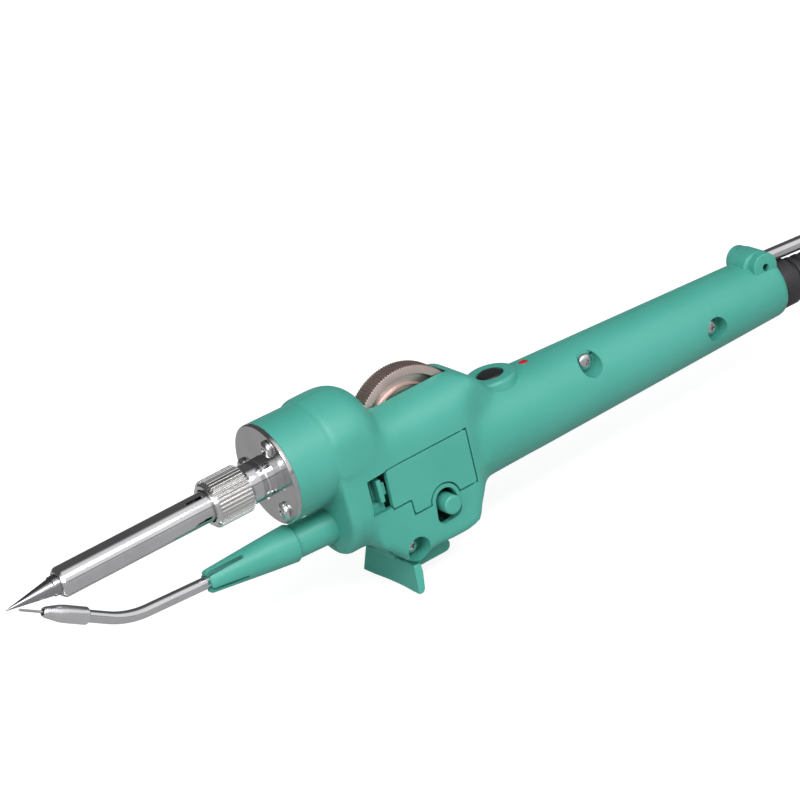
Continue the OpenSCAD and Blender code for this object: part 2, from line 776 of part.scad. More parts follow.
module heater_ferrule() color("gainsboro") difference() {
    union() {
        along_x(nut_thread_x) cylinder(h = nut_rear_x - nut_thread_x, r = thread_r);
        along_x(nut_rear_x) cylinder(h = plate_t - nut_rear_x, d = ferrule_d);
        along_x(plate_t) cylinder(h = ferrule_flange_t, r = ferrule_flange_r);
    }
    along_x(nut_thread_x - cut) cylinder(h = plate_t + ferrule_flange_t - nut_thread_x + 2 * cut,
        r = ferrule_bore_r);
}

module barrel_nut() color("silver") difference() {
    along_x(nut_front_x) cylinder(h = nut_len - run_gap, d = nut_d);
    along_x(nut_front_x - cut) cylinder(h = nut_len, d = sleeve_d + 2 * nut_lip_gap);
    along_x(nut_front_x + nut_lip_t - run_gap) cylinder(h = nut_len, r = thread_r + run_gap);
}

module barrel_sleeve() color("silver") difference() {
    union() {
        along_x(sleeve_front_x)
            cylinder(h = sleeve_chamfer, d1 = sleeve_d - 2 * sleeve_chamfer, d2 = sleeve_d);
        along_x(sleeve_front_x + sleeve_chamfer)
            cylinder(h = nut_thread_x - sleeve_front_x - sleeve_chamfer, d = sleeve_d);
        along_x(nut_thread_x - sleeve_flange_t) cylinder(h = sleeve_flange_t, r = sleeve_flange_r);
    }
    along_x(sleeve_front_x - cut)
        cylinder(h = nut_thread_x - sleeve_front_x + 2 * cut, r = bit_shank_r + run_gap);
    along_x(sleeve_front_x + sleeve_lip_t)
        cylinder(h = nut_thread_x - sleeve_front_x, d = sleeve_d - 2 * sleeve_wall);
    for (a = sleeve_slot_angles) rotate([a, 0, 0])
        translate([nut_front_x - sleeve_slot_inset - sleeve_slot_len, -sleeve_slot_w / 2, 0])
            cube([sleeve_slot_len, sleeve_slot_w, sleeve_d]);
}

module soldering_bit() color("silver") difference() {
    union() {
        rotate([0, 90, 0]) rotate_extrude() polygon([
            [0, bit_tip_x],
            [bit_tip_r, bit_tip_x],
            [bit_base_d / 2 * bit_waist_r_share, sleeve_front_x - bit_reach * bit_waist_share],
            [bit_base_d / 2, sleeve_front_x],
            [bit_shank_r, sleeve_front_x],
            [bit_shank_r, sleeve_front_x + sleeve_lip_t],
            [sleeve_d / 2 - sleeve_wall - run_gap, sleeve_front_x + sleeve_lip_t],
            [sleeve_d / 2 - sleeve_wall - run_gap, sleeve_front_x + sleeve_lip_t + bit_flange_t],
            [bit_shank_r, sleeve_front_x + sleeve_lip_t + bit_flange_t],
            [bit_shank_r, sleeve_front_x + bit_shank_len],
            [0, sleeve_front_x + bit_shank_len]]);
    }
    along_x(sleeve_front_x + bit_wall) cylinder(h = bit_shank_len, d = core_d + 2 * run_gap);
}

module heater_core() color("white") along_x(sleeve_front_x + 2 * bit_wall)
    cylinder(h = core_inset + plate_t - sleeve_front_x - 2 * bit_wall, d = core_d);

module heater_holder() color("tan") difference() {
    along_x(plate_t + ferrule_flange_t) cylinder(h = holder_len, r = holder_r);
    along_x(0) cylinder(h = 2 * holder_len, d = core_d + 2 * run_gap);
}

module thumb_wheel() color("rosybrown") difference() {
    union() {
        difference() {
            along_y(wheel_x, -wheel_w / 2, -wheel_drop) cylinder(h = wheel_w, d = wheel_d, $fn = 120);
            for (s = [-1, 1]) along_y(wheel_x, s > 0 ? wheel_w / 2 - wheel_web_depth : -wheel_w / 2 - cut,
                -wheel_drop) cylinder(h = wheel_web_depth + cut, r = wheel_web_r);
        }
        along_y(wheel_x, -wheel_hub_len, -wheel_drop)
            cylinder(h = wheel_hub_len + wheel_w / 2, r = wheel_hub_r);
    }
    along_y(wheel_x, -wheel_hub_len - cut, -wheel_drop) cylinder(h = 2 * wheel_hub_len + cut, d = axle_d);
}

module wheel_axle() color("silver") along_y(wheel_x, -axle_len / 2, -wheel_drop)
    cylinder(h = axle_len, d = axle_d);

module ratchet_gear() color("dimgray") difference() {
    union() {
        along_y(wheel_x, wheel_w / 2, -wheel_drop) cylinder(h = wheel_hub_len - wheel_w / 2, r = wheel_hub_r);
        side_slab(wheel_w / 2, wheel_w / 2 + ratchet_w) translate([wheel_x, -wheel_drop])
            polygon([for (i = [0 : ratchet_teeth - 1], e = [0, 1])
                let (a = 360 * (i + e * 0.9) / ratchet_teeth, r = e > 0 ? ratchet_r : ratchet_root_r)
                [r * cos(a), r * sin(a)]]);
    }
    along_y(wheel_x, 0, -wheel_drop) cylinder(h = wheel_hub_len + cut, d = axle_d);
}

module idler_roller() color("silver") difference() {
    along_y(idler_x, -idler_w / 2, idler_z) cylinder(h = idler_w, d = idler_d);
    along_y(idler_x, -idler_w, idler_z) cylinder(h = 2 * idler_w, r = idler_axle_r + run_gap);
}

module tension_arm() color("seagreen") {
    difference() {
        side_slab(arm_side_y - arm_t, arm_side_y) {
            hull() {
                translate([arm_pivot_x, arm_pivot_z]) circle(r = arm_pivot_r);
                translate([idler_x, idler_z]) circle(r = arm_axle_r);
            }
            hull() {
                translate([idler_x, idler_z]) circle(r = arm_axle_r);
                translate([arm_tail_x, arm_tail_z]) circle(r = arm_tail_r);
            }
        }
        along_y(arm_pivot_x, -body_w, arm_pivot_z) cylinder(h = body_w, r = arm_pin_r + run_gap);
    }
    along_y(idler_x, arm_side_y - cut, idler_z) cylinder(h = idler_w / 2 - arm_side_y + cut, r = idler_axle_r);
    along_y(idler_x, -body_w / 2 - knob_reach + knob_len / 2, idler_z)
        cylinder(h = body_w / 2 + knob_reach - knob_len / 2 + arm_side_y, r = arm_boss_r);
    along_y(arm_tail_x, arm_peg_y, arm_tail_z) cylinder(h = arm_side_y - arm_peg_y, r = spring_peg_r);
}

module tension_pin() color("silver") along_y(arm_pivot_x, -body_w / 2 + wall / 2, arm_pivot_z)
    cylinder(h = body_w / 2 - wall / 2 + arm_side_y + pass_gap, r = arm_pin_r);

module tension_knob() color("mediumaquamarine") difference() {
    union() {
        along_y(idler_x, -body_w / 2 - knob_reach, idler_z)
            cylinder(h = knob_edge, d1 = knob_d - 2 * knob_edge, d2 = knob_d);
        along_y(idler_x, -body_w / 2 - knob_reach + knob_edge, idler_z)
            cylinder(h = knob_len - knob_edge, d = knob_d);
    }
    along_y(idler_x, -body_w / 2 - knob_reach + knob_len / 2, idler_z) cylinder(h = knob_len, r = arm_boss_r);
}

spring_low_z = arm_tail_z + spring_peg_r;
spring_room = spring_peg_z - spring_peg_r - spring_low_z;
spring_rise = (spring_room - 2 * spring_wire_r) / spring_turns;
echo(least_gap_in_tension_spring = spring_rise - 2 * spring_wire_r);
module tension_spring() color("silver") translate([spring_x, spring_y, spring_low_z + spring_wire_r])
    coil(spring_r, spring_wire_r, spring_turns, spring_rise);

// Trigger: hub on the lower screw pillar, paddle and lobe below, arm above
module trigger() color("mediumaquamarine") difference() {
    union() {
        along_y(pivot_x, hub_right_y, pivot_z) cylinder(h = hub_left_y - hub_right_y, r = hub_small_r);
        along_y(pivot_x, hub_right_y + coil_room, pivot_z)
            cylinder(h = hub_left_y - hub_right_y - coil_room, r = hub_r);
        side_slab(trigger_arm_y, trigger_arm_y + trigger_arm_t) hull() {
            translate([pivot_x, pivot_z]) circle(r = hub_r * 0.8);
            translate([pawl_x, pawl_z]) circle(r = trigger_arm_r);
        }
        side_slab(hub_right_y + coil_room, lobe_w / 2) polygon([
            [pivot_x - hub_r * neck_share, pivot_z - hub_r * neck_share],
            [pivot_x + hub_r * neck_share, pivot_z - hub_r * neck_share],
            [pivot_x + hub_r * neck_share, lobe_end_z],
            [pivot_x - hub_r * neck_share, lobe_end_z]]);
        side_slab(-lobe_w / 2 + cut, lobe_w / 2) polygon([
            [pivot_x + paddle_lean_x, lobe_end_z + lobe_end_r],
            [lobe_end_x, lobe_end_z + lobe_end_r],
            [lobe_end_x, lobe_end_z - lobe_end_r],
            [pivot_x + paddle_lean_x, lobe_end_z - lobe_end_r]]);
        along_y(lobe_end_x, -lobe_w / 2 + cut, lobe_end_z) cylinder(h = lobe_w - cut, r = lobe_end_r);
        paddle();
        along_y(pawl_x, pawl_y - pass_gap, pawl_z) cylinder(h = trigger_arm_y - pawl_y + pass_gap + cut,
            r = pawl_pin_r);
    }
    along_y(pivot_x, -body_w, pivot_z) cylinder(h = 2 * body_w, r = pillar_r + run_gap);
}

// Dished paddle under the body, wider at its foot
module paddle() {
    dish_r = (paddle_w * paddle_w / 4 + paddle_dish * paddle_dish) / (2 * paddle_dish);
    foot_z = paddle_top_z - paddle_h;
    difference() {
        intersection() {
            side_slab(-paddle_w / 2, paddle_w / 2) polygon(concat(
                [for (p = paddle_side_shares) [pivot_x + paddle_h * p[0], foot_z + paddle_h * p[1]]],
                [[pivot_x, paddle_top_z], [pivot_x + paddle_lean_x, paddle_top_z]]));
            translate([0, 0, foot_z]) rotate([90, 0, 90]) linear_extrude(2 * pivot_x) polygon([
                [-paddle_w / 2, 0], [paddle_w / 2, 0],
                [paddle_w / 2 - paddle_cheek, paddle_h + cut], [-paddle_w / 2 + paddle_cheek, paddle_h + cut]]);
        }
        translate([pivot_x + paddle_lean_x, 0, paddle_top_z]) rotate([0, paddle_lean, 0])
            translate([paddle_dish - dish_r, 0, -2 * paddle_h]) cylinder(h = 4 * paddle_h, r = dish_r, $fn = 128);
    }
}

module drive_pawl() color("silver") difference() {
    side_slab(pawl_y, pawl_y + pawl_t) hull() {
        translate([pawl_x, pawl_z]) circle(r = pawl_r);
        translate([wheel_x + (ratchet_r + pass_gap + pawl_tip_r) * cos(pawl_angle),
            -wheel_drop + (ratchet_r + pass_gap + pawl_tip_r) * sin(pawl_angle)]) circle(r = pawl_tip_r);
    }
    along_y(pawl_x, 0, pawl_z) cylinder(h = body_w, r = pawl_pin_r + run_gap);
}

// Coil around the thin end of the trigger's hub
trigger_spring_rise = 2 * trigger_spring_wire_r + trigger_spring_gap;
echo(least_gap_in_trigger_spring = trigger_spring_gap);
module trigger_spring() color("silver") along_y(pivot_x, hub_right_y + 2 * trigger_spring_wire_r, pivot_z)
    coil((hub_small_r + trigger_spring_wire_r + run_gap) / cos(180 / 8), trigger_spring_wire_r,
        trigger_spring_turns, trigger_spring_rise);

module feed_door() color("mediumaquamarine") {
    side_slab(-body_w / 2, -body_w / 2 + door_t) door_outline();
    for (z = [door_top_z - cut, door_low_z - hinge_pin_len]) translate([hinge_x, hinge_y, z])
        cylinder(h = hinge_pin_len + cut, r = hinge_pin_r);
}

// Sliding latch: grip tab, foot behind the recess floor and a nose toward the door
module door_latch() color("mediumaquamarine") {
    foot_y = recess_floor_y + recess_floor_t + pass_gap;
    front_y = -body_w / 2 + latch_sunk;
    height = latch_top_z - latch_low_z;
    translate([latch_x, front_y, latch_low_z]) cube([latch_t, foot_y + latch_foot_t - front_y, height]);
    translate([latch_x - 2 * pass_gap, foot_y, latch_low_z - wall / 2])
        cube([latch_t + 2 * pass_gap, latch_foot_t, height + wall]);
    translate([latch_x, recess_floor_y - pass_gap - latch_nose_t, latch_low_z + (height - latch_nose_h) / 2])
        cube([door_front_x - door_lean - latch_x - pass_gap, latch_nose_t, latch_nose_h]);
}

module guide(length) difference() {
    union() {
        cylinder(h = guide_tip_len, r1 = guide_tip_r, r2 = guide_r);
        translate([0, 0, guide_tip_len]) cylinder(h = length - guide_tip_len, r = guide_r);
    }
    translate([0, 0, -cut]) cylinder(h = length + 2 * cut, r = guide_bore_r);
}

module front_guide() color("gold") feed_frame(guide_start)
    guide(body_face_u - wall - bush_flange_t - guide_start);

module rear_guide() color("gold") feed_frame(-guide_start) rotate([180, 0, 0])
    guide((body_rear_x - wheel_x) / cos(feed_tilt) - guide_start + pass_gap);

module solder_liner() color("whitesmoke") liner_frame() difference() {
    cylinder(h = liner_length(), r = liner_r);
    translate([0, 0, -cut]) cylinder(h = liner_length() + 2 * cut, r = liner_bore_r);
}

module inlet_tube() color("silver") inlet_frame() difference() {
    length = (handle_end_x - inlet_front_x) / cos(inlet_tilt) + inlet_reach;
    cylinder(h = length, d = inlet_d);
    translate([0, 0, -cut]) cylinder(h = length + 2 * cut, r = inlet_bore_r);
}

module control_board() color("darkgreen") translate([board_x, -board_w / 2, board_top_z - board_t])
    cube([board_end_x - board_x, board_w, board_t]);

module tact_switch() color("black") translate([pad_x, 0, board_top_z]) {
    translate([-switch_w / 2, -switch_w / 2, 0]) cube([switch_w, switch_w, switch_h]);
    translate([0, 0, switch_h]) cylinder(h = plunger_h, r = plunger_r);
}

cap_low_z = pad_top_z - pad_skin - cap_flange_t;
module button_cap() color("black") translate([pad_x, 0, cap_low_z]) {
    cylinder(h = cap_flange_t, d = button_d + 2 * cap_flange);
    cylinder(h = cap_flange_t + pad_skin, d = button_d);
    translate([0, 0, cap_flange_t + pad_skin])
        cylinder(h = cap_rise, d1 = button_d, d2 = button_d - 4 * cap_rise);
}

lamp_top_z = handle_root_z - (lamp_x - handle_root_x) * tan(handle_tilt) + handle_front_d / 2
    - (handle_front_d - handle_end_d) / 2 * (lamp_x - handle_root_x) / (handle_end_x - handle_root_x);
module status_lamp() color("red") translate([lamp_x, 0, board_top_z]) {
    cylinder(h = lamp_top_z - board_top_z, d = lamp_d);
    translate([0, 0, lamp_top_z - board_top_z])
        cylinder(h = lamp_d / 8, d1 = lamp_d, d2 = lamp_d * 0.6);
}

module housing_screws() color("silver") for (p = screw_places) translate([p[0], p[2], p[1]])
    rotate([90, 0, 0]) pan_screw(screw_len);

module outlet_bush() color("mediumaquamarine") feed_frame(body_face_u - wall - bush_flange_t) difference() {
    rear = bush_flange_t;
    front = bush_front_u - body_face_u + wall + bush_flange_t;
    union() {
        cylinder(h = rear, r = bush_flange_r);
        cylinder(h = front, d = bush_d);
        cylinder(h = front + spigot_len, r = spigot_r);
    }
    translate([0, 0, -cut]) cylinder(h = front + spigot_len + 2 * cut, r = tube_d / 2 + run_gap);
}

module collet_nut() color("mediumaquamarine") feed_frame(bush_front_u) difference() {
    cylinder(h = collet_len, d1 = collet_rear_d, d2 = collet_front_d);
    translate([0, 0, -cut]) cylinder(h = spigot_len + 2 * cut, r = spigot_r + run_gap);
    translate([0, 0, -cut]) cylinder(h = collet_len + 2 * cut, r = tube_d / 2 + run_gap);
    for (a = [45, 135]) rotate([0, 0, a])
        translate([-collet_rear_d / 2, -collet_slot_w / 2, collet_len - collet_slot_len])
            cube([collet_rear_d, collet_slot_w, collet_slot_len + cut]);
}

// A tube or rod along the wire path: a run, the bend let into both ends, and a straight tail
module bent_tube(r, bore_r, start_u, tail) {
    feed_frame(start_u) ring_rod(r, bore_r, tube_bend_u - start_u);
    feed_frame(tube_bend_u) translate([tube_bend_r, 0, 0]) rotate([90, 0, 0])
        rotate([0, 0, 180 - tube_bend - bend_lap]) rotate_extrude(angle = tube_bend + 2 * bend_lap)
            translate([tube_bend_r, 0]) ring(r - bend_step, bore_r > 0 ? bore_r + bend_step : 0);
    tail_frame() ring_rod(r, bore_r, tail);
}

module ring(r, bore_r) difference() {
    circle(r = r);
    if (bore_r > 0) circle(r = bore_r);
}

module ring_rod(r, bore_r, length) linear_extrude(length) ring(r, bore_r);

module tail_frame() feed_frame(tube_bend_u)
    translate([tube_bend_r * (1 - cos(tube_bend)), 0, tube_bend_r * sin(tube_bend)])
        rotate([0, tube_bend, 0]) children();

module feed_tube() color("silver") bent_tube(tube_d / 2, tube_d / 2 - tube_wall, tube_start_u, tube_tail);

nozzle_start = tube_tail - nozzle_overlap;
module nozzle() color("gainsboro") tail_frame() translate([0, 0, nozzle_start]) difference() {
    union() {
        cylinder(h = nozzle_len - nozzle_taper, d = nozzle_d);
        translate([0, 0, nozzle_len - nozzle_taper])
            cylinder(h = nozzle_taper, d1 = nozzle_d, r2 = nozzle_tip_r);
    }
    translate([0, 0, -cut]) cylinder(h = nozzle_overlap + cut, d = tube_d + 2 * run_gap);
    translate([0, 0, -cut]) cylinder(h = nozzle_len + 2 * cut, r = nozzle_bore_r);
}

wire_tail = nozzle_start + nozzle_len + wire_reach;
wire_back = (liner_start_x - wheel_x) / cos(feed_tilt);
module solder_wire() color("lightgray") {
    feed_frame(-wire_back) cylinder(h = wire_back + tube_start_u, r = wire_r);
    translate([liner_start_x, 0, liner_start_z]) sphere(r = 1.1 * wire_r);
    liner_frame() cylinder(h = liner_length(), r = wire_r);
}

// The length of wire inside the feed tube, which turns with the tube
module solder_tip() color("lightgray") bent_tube(wire_r, 0, tube_start_u, wire_tail);

module cord_boot() color("black") boot_frame() difference() {
    taper_len = boot_len - boot_collar_len;
    pitch = taper_len / boot_ribs;
    rotate_extrude() polygon(concat(
        [[0, -handle_end_wall - boot_flange_t - pass_gap],
         [boot_flange_r, -handle_end_wall - boot_flange_t - pass_gap],
         [boot_flange_r, -handle_end_wall - pass_gap],
         [boot_neck_r, -handle_end_wall - pass_gap],
         [boot_neck_r, pass_gap],
         [boot_d / 2, pass_gap],
         [boot_d / 2, boot_collar_len]],
        [for (i = [0 : boot_ribs - 1], e = [0 : 3])
            let (z = boot_collar_len + pitch * (i + e / 4),
                r = boot_rib_r + (boot_end_r - boot_rib_r) * (i + e / 4) / boot_ribs)
            [e < 2 ? r - boot_groove : r, z]],
        [[boot_end_r, boot_len], [0, boot_len]]));
    translate([0, 0, -handle_end_wall - boot_flange_t - cut])
        cylinder(h = boot_len + handle_end_wall + boot_flange_t + 2 * cut, d = cord_bore_d);
}

place() housing_right();
place() housing_left();
place() front_plate();
place() plate_screws();
place() heater_ferrule();
place() barrel_nut();
place() barrel_sleeve();
place() soldering_bit();
place() heater_core();
place() heater_holder();
place() thumb_wheel();
place() wheel_axle();
place() ratchet_gear();
place() idler_roller();
place() tension_arm();
place() tension_pin();
place() tension_knob();
place() tension_spring();
place() trigger();
place() drive_pawl();
place() trigger_spring();
place() feed_door();
place() door_latch();
place() rear_guide();
place() front_guide();
place() solder_liner();
place() inlet_tube();
place() control_board();
place() tact_switch();
place() button_cap();
place() status_lamp();
place() housing_screws();
place() outlet_bush();
place() collet_nut();
place() feed_tube();
place() nozzle();
place() solder_wire();
place() solder_tip();
place() cord_boot();
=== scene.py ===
# %% [markdown]
# # A soldering iron that feeds its own wire
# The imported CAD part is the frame, and the sizes below are its sizes.  This script dresses it:
# smooth moulded housing halves, polished and knurled metal, rubber and plastic finishes,
# a pale floor, soft light and a camera that looks from where the photograph was taken.

# %% Load the frame
import json
import math

import bmesh
import bpy
from mathutils import Matrix, Vector

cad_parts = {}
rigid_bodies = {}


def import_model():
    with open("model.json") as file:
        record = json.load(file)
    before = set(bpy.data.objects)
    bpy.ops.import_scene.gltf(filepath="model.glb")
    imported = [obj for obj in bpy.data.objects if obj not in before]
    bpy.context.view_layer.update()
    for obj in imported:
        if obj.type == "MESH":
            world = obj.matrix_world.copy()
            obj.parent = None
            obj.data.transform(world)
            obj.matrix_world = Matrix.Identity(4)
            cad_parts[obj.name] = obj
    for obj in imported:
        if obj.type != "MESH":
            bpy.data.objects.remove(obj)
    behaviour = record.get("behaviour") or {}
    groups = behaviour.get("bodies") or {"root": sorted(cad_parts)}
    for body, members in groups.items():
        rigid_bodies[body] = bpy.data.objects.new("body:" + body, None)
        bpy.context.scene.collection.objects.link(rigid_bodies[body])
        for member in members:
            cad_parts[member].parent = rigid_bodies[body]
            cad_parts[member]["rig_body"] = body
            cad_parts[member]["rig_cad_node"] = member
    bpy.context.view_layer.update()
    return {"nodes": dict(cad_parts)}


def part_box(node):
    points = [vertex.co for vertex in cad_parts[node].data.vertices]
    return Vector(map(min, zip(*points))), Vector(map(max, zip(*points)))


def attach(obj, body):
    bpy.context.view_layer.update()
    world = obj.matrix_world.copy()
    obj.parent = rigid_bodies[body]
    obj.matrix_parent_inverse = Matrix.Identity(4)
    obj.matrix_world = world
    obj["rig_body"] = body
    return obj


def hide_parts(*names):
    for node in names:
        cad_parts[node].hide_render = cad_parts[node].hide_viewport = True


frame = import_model()
nodes = frame["nodes"]

# %% [markdown]
# ## Camera
# The photograph looks down on the door side from the front left, with the camera rolled so
# that the heater points to the lower left corner.  It was taken with a long lens from more
# than a metre away, so parallel edges stay nearly parallel.

# %% Place the camera
MM = 0.001
NUT_FRONT = 22.0
LENS_PIXELS = 4000
PICTURE_PIXELS = 800
SENSOR_WIDTH = 36
camera_axes = (
    (0.79882, -0.54953, -0.24474),
    (0.41634, 0.21138, 0.88430),
    (-0.43422, -0.80829, 0.39765),
)
picture_shift = (-40.400, -22.627)
camera_distance = 1206.818
turn = Matrix(camera_axes).transposed()
eye = turn @ Vector((-picture_shift[0], -picture_shift[1], camera_distance))
eye.x += NUT_FRONT
camera_data = bpy.data.cameras.new("camera")
camera_data.sensor_width = SENSOR_WIDTH
camera_data.lens = SENSOR_WIDTH * LENS_PIXELS / PICTURE_PIXELS
camera_data.clip_start = 0.05
camera_data.clip_end = 20
camera = bpy.data.objects.new("camera", camera_data)
bpy.context.scene.collection.objects.link(camera)
camera.matrix_world = Matrix.Translation(eye * MM) @ turn.to_4x4()
bpy.context.scene.camera = camera
print("camera at", [round(v, 4) for v in camera.location])

# %% [markdown]
# ## Shader helper
# A finish is a small network of nodes.  The Tone class wraps one socket, so that sums on
# textures read like Python, and the Finish class adds nodes and feeds the main shader.

# %% Shader helper
class Tone:
    """One output socket of a finish; arithmetic on it adds Math nodes."""

    def __init__(self, finish, socket):
        self.finish = finish
        self.socket = socket

    def sum_with(self, operation, other, flip=False):
        first, second = (other, self) if flip else (self, other)
        return self.finish.add("ShaderNodeMath", {"operation": operation}, {0: first, 1: second})

    def __add__(self, other):
        return self.sum_with("ADD", other)

    __radd__ = __add__

    def __sub__(self, other):
        return self.sum_with("SUBTRACT", other)

    def __rsub__(self, other):
        return self.sum_with("SUBTRACT", other, flip=True)

    def __mul__(self, other):
        return self.sum_with("MULTIPLY", other)

    __rmul__ = __mul__

    def ramp(self, low, high, low_value=0.0, high_value=1.0):
        return self.finish.add("ShaderNodeMapRange", {"interpolation_type": "SMOOTHSTEP"}, {
            "Value": self, "From Min": low, "From Max": high,
            "To Min": low_value, "To Max": high_value})


class Finish:
    """A node-based material, or the world, with one method that adds any node."""

    def __init__(self, name, target=None, **fixed):
        self.material = target or bpy.data.materials.new(name)
        self.material.use_nodes = True
        self.tree = self.material.node_tree
        self.main = self.tree.nodes.get("Principled BSDF")
        for socket, value in fixed.items():
            self.main.inputs[socket.replace("_", " ")].default_value = value

    def add(self, kind, settings=None, inputs=None, output=0):
        node = self.tree.nodes.new(kind)
        for key, value in (settings or {}).items():
            setattr(node, key, value)
        for key, value in (inputs or {}).items():
            self.plug(node.inputs[key], value)
        return Tone(self, node.outputs[output])

    def plug(self, socket, value):
        if isinstance(value, Tone):
            self.tree.links.new(value.socket, socket)
        else:
            socket.default_value = value

    def feed(self, **values):
        for key, value in values.items():
            self.plug(self.main.inputs[key.replace("_", " ")], value)

    def place(self):
        return self.add("ShaderNodeTexCoord", output="Object")

    def part(self, vector, index):
        return self.add("ShaderNodeSeparateXYZ", inputs={0: vector}, output=index)

    def noise(self, scale, detail=2.0, vector=None, roughness=0.5, stretch=None):
        vector = vector or self.place()
        if stretch:
            vector = self.add("ShaderNodeMapping", inputs={"Vector": vector, "Scale": stretch})
        return self.add("ShaderNodeTexNoise", inputs={
            "Vector": vector, "Scale": scale, "Detail": detail, "Roughness": roughness})

    def blend(self, amount, first, second):
        return self.add("ShaderNodeMix", {"data_type": "RGBA"},
                        {0: amount, 6: first, 7: second}, output=2)

    def bumps(self, height, depth, strength=1.0):
        self.feed(Normal=self.add("ShaderNodeBump", inputs={
            "Height": height, "Distance": depth, "Strength": strength}))


def rgb(red, green, blue):
    """A colour read from an 8 bit scale, as the linear values that shaders use."""
    return tuple(((c / 255 + 0.055) / 1.055) ** 2.4 for c in (red, green, blue)) + (1.0,)


# %% [markdown]
# ## Finishes
# The housing is matt moulded plastic with a fine spark-eroded grain and slightly uneven
# colour.  The front metal is polished chrome, the nut is bright nickel and the thumb wheel
# is turned metal with a warm tint.  Each finish varies its colour, roughness or bump with
# noise at the scale of the real surface.

# %% Plastic and rubber finishes
def moulded_plastic(name, base, shade, roughness=0.42):
    """Matt plastic: cloudy colour, fine grain, and random patches rubbed a little lighter."""
    finish = Finish(name, IOR=1.5, Specular_IOR_Level=0.45)
    cloud = finish.noise(38, 3).ramp(0.3, 0.7)
    grain = finish.noise(5200, 1)
    rubbed = finish.noise(420, 4).ramp(0.62, 0.8)
    colour = finish.blend(cloud, base, shade)
    light = tuple(min(1.0, c * 1.25 + 0.02) for c in base[:3]) + (1.0,)
    colour = finish.blend(rubbed * 0.18, colour, light)
    finish.feed(Base_Color=colour,
                Roughness=finish.noise(160, 3) * 0.14 + roughness - 0.07)
    finish.bumps(grain + finish.noise(900, 2) * 0.6, 0.00002, 0.45)
    return finish.material


green_plastic = moulded_plastic("green_plastic", rgb(66, 153, 138), rgb(72, 158, 144))
black_plastic = moulded_plastic("black_plastic", rgb(28, 29, 31), rgb(36, 36, 38), 0.3)
black_rubber = moulded_plastic("black_rubber", rgb(40, 40, 43), rgb(52, 51, 54), 0.55)
white_plastic = moulded_plastic("white_plastic", rgb(232, 232, 226), rgb(222, 222, 214), 0.4)
print("plastic finishes made")


# %% Metal finishes
def turned_metal(name, base, tint, roughness, axis=0, lines=0.0):
    """Metal with faint rings from the lathe, uneven polish and a few hairline marks."""
    finish = Finish(name, Metallic=1.0)
    place = finish.place()
    stretch = [0.15, 0.15, 0.15]
    stretch[axis] = 12.0
    rings = finish.noise(260, 3, vector=place, stretch=tuple(stretch))
    haze = finish.noise(90, 4, vector=place).ramp(0.35, 0.75)
    marks = finish.noise(700, 2, vector=place, stretch=(0.2, 3.0, 3.0)).ramp(0.68, 0.76)
    finish.feed(Base_Color=finish.blend(haze, base, tint),
                Roughness=haze * 0.05 + rings * lines + marks * 0.08 + roughness)
    finish.bumps(rings, 0.00001, lines)
    return finish.material


chrome = turned_metal("polished_chrome", rgb(224, 224, 226), rgb(212, 212, 216), 0.07, lines=0.02)
plate_chrome = turned_metal("plate_chrome", rgb(208, 207, 207), rgb(200, 199, 199), 0.13, lines=0.02)
nozzle_metal = turned_metal("nozzle_plate", rgb(236, 236, 238), rgb(226, 226, 228), 0.2, lines=0.02)
bit_plating = turned_metal("bit_plating", rgb(170, 170, 174), rgb(150, 150, 154), 0.13, lines=0.1)
nickel = turned_metal("nickel_plate", rgb(236, 235, 234), rgb(226, 225, 225), 0.12, lines=0.02)
satin = turned_metal("satin_steel", rgb(190, 190, 192), rgb(172, 172, 176), 0.24, lines=0.2)
screw_steel = turned_metal("screw_steel", rgb(222, 222, 222), rgb(202, 202, 204), 0.14, lines=0.1)
rose_metal = turned_metal("rose_metal", rgb(226, 206, 200), rgb(212, 192, 188), 0.28, axis=1, lines=0.2)
dark_steel = turned_metal("dark_steel", rgb(98, 98, 104), rgb(84, 84, 90), 0.35, lines=0.15)
brass = turned_metal("brass", rgb(214, 176, 98), rgb(196, 158, 84), 0.22, lines=0.15)
tin = turned_metal("solder_tin", rgb(196, 196, 196), rgb(176, 176, 178), 0.3, lines=0.2)


# %% Lens, ceramic, mica and board finishes
def lamp_lens():
    finish = Finish("red_lens", Specular_IOR_Level=0.6)
    depth = finish.noise(500, 2).ramp(0.2, 0.8)
    finish.feed(Base_Color=finish.blend(depth, rgb(150, 14, 22), rgb(196, 44, 48)),
                Roughness=depth * 0.08 + 0.12)
    return finish.material


def fired_ceramic():
    finish = Finish("ceramic", Specular_IOR_Level=0.4)
    speck = finish.noise(900, 4).ramp(0.55, 0.75)
    finish.feed(Base_Color=finish.blend(speck, rgb(236, 232, 222), rgb(206, 198, 184)),
                Roughness=speck * 0.2 + 0.5)
    finish.bumps(finish.noise(1400, 3), 0.00003, 0.5)
    return finish.material


def pressed_mica():
    finish = Finish("mica", Specular_IOR_Level=0.5)
    sheets = finish.noise(300, 4, stretch=(8.0, 0.6, 0.6))
    finish.feed(Base_Color=finish.blend(sheets.ramp(0.35, 0.65), rgb(190, 164, 120), rgb(150, 122, 84)),
                Roughness=sheets * 0.3 + 0.35)
    finish.bumps(sheets, 0.00005, 0.5)
    return finish.material


def circuit_board():
    finish = Finish("circuit_board", Specular_IOR_Level=0.5)
    place = finish.place()
    track = finish.add("ShaderNodeTexWave", {"wave_type": "BANDS", "bands_direction": "Y"}, {
        "Vector": place, "Scale": 160.0, "Distortion": 6.0, "Detail": 0.0}, output=1).ramp(0.55, 0.62)
    finish.feed(Base_Color=finish.blend(track, rgb(16, 92, 60), rgb(34, 124, 84)),
                Roughness=track * 0.15 + 0.3)
    finish.bumps(track, 0.00004, 0.6)
    return finish.material


red_lens, ceramic, mica, board = lamp_lens(), fired_ceramic(), pressed_mica(), circuit_board()
print("finishes:", len(bpy.data.materials))

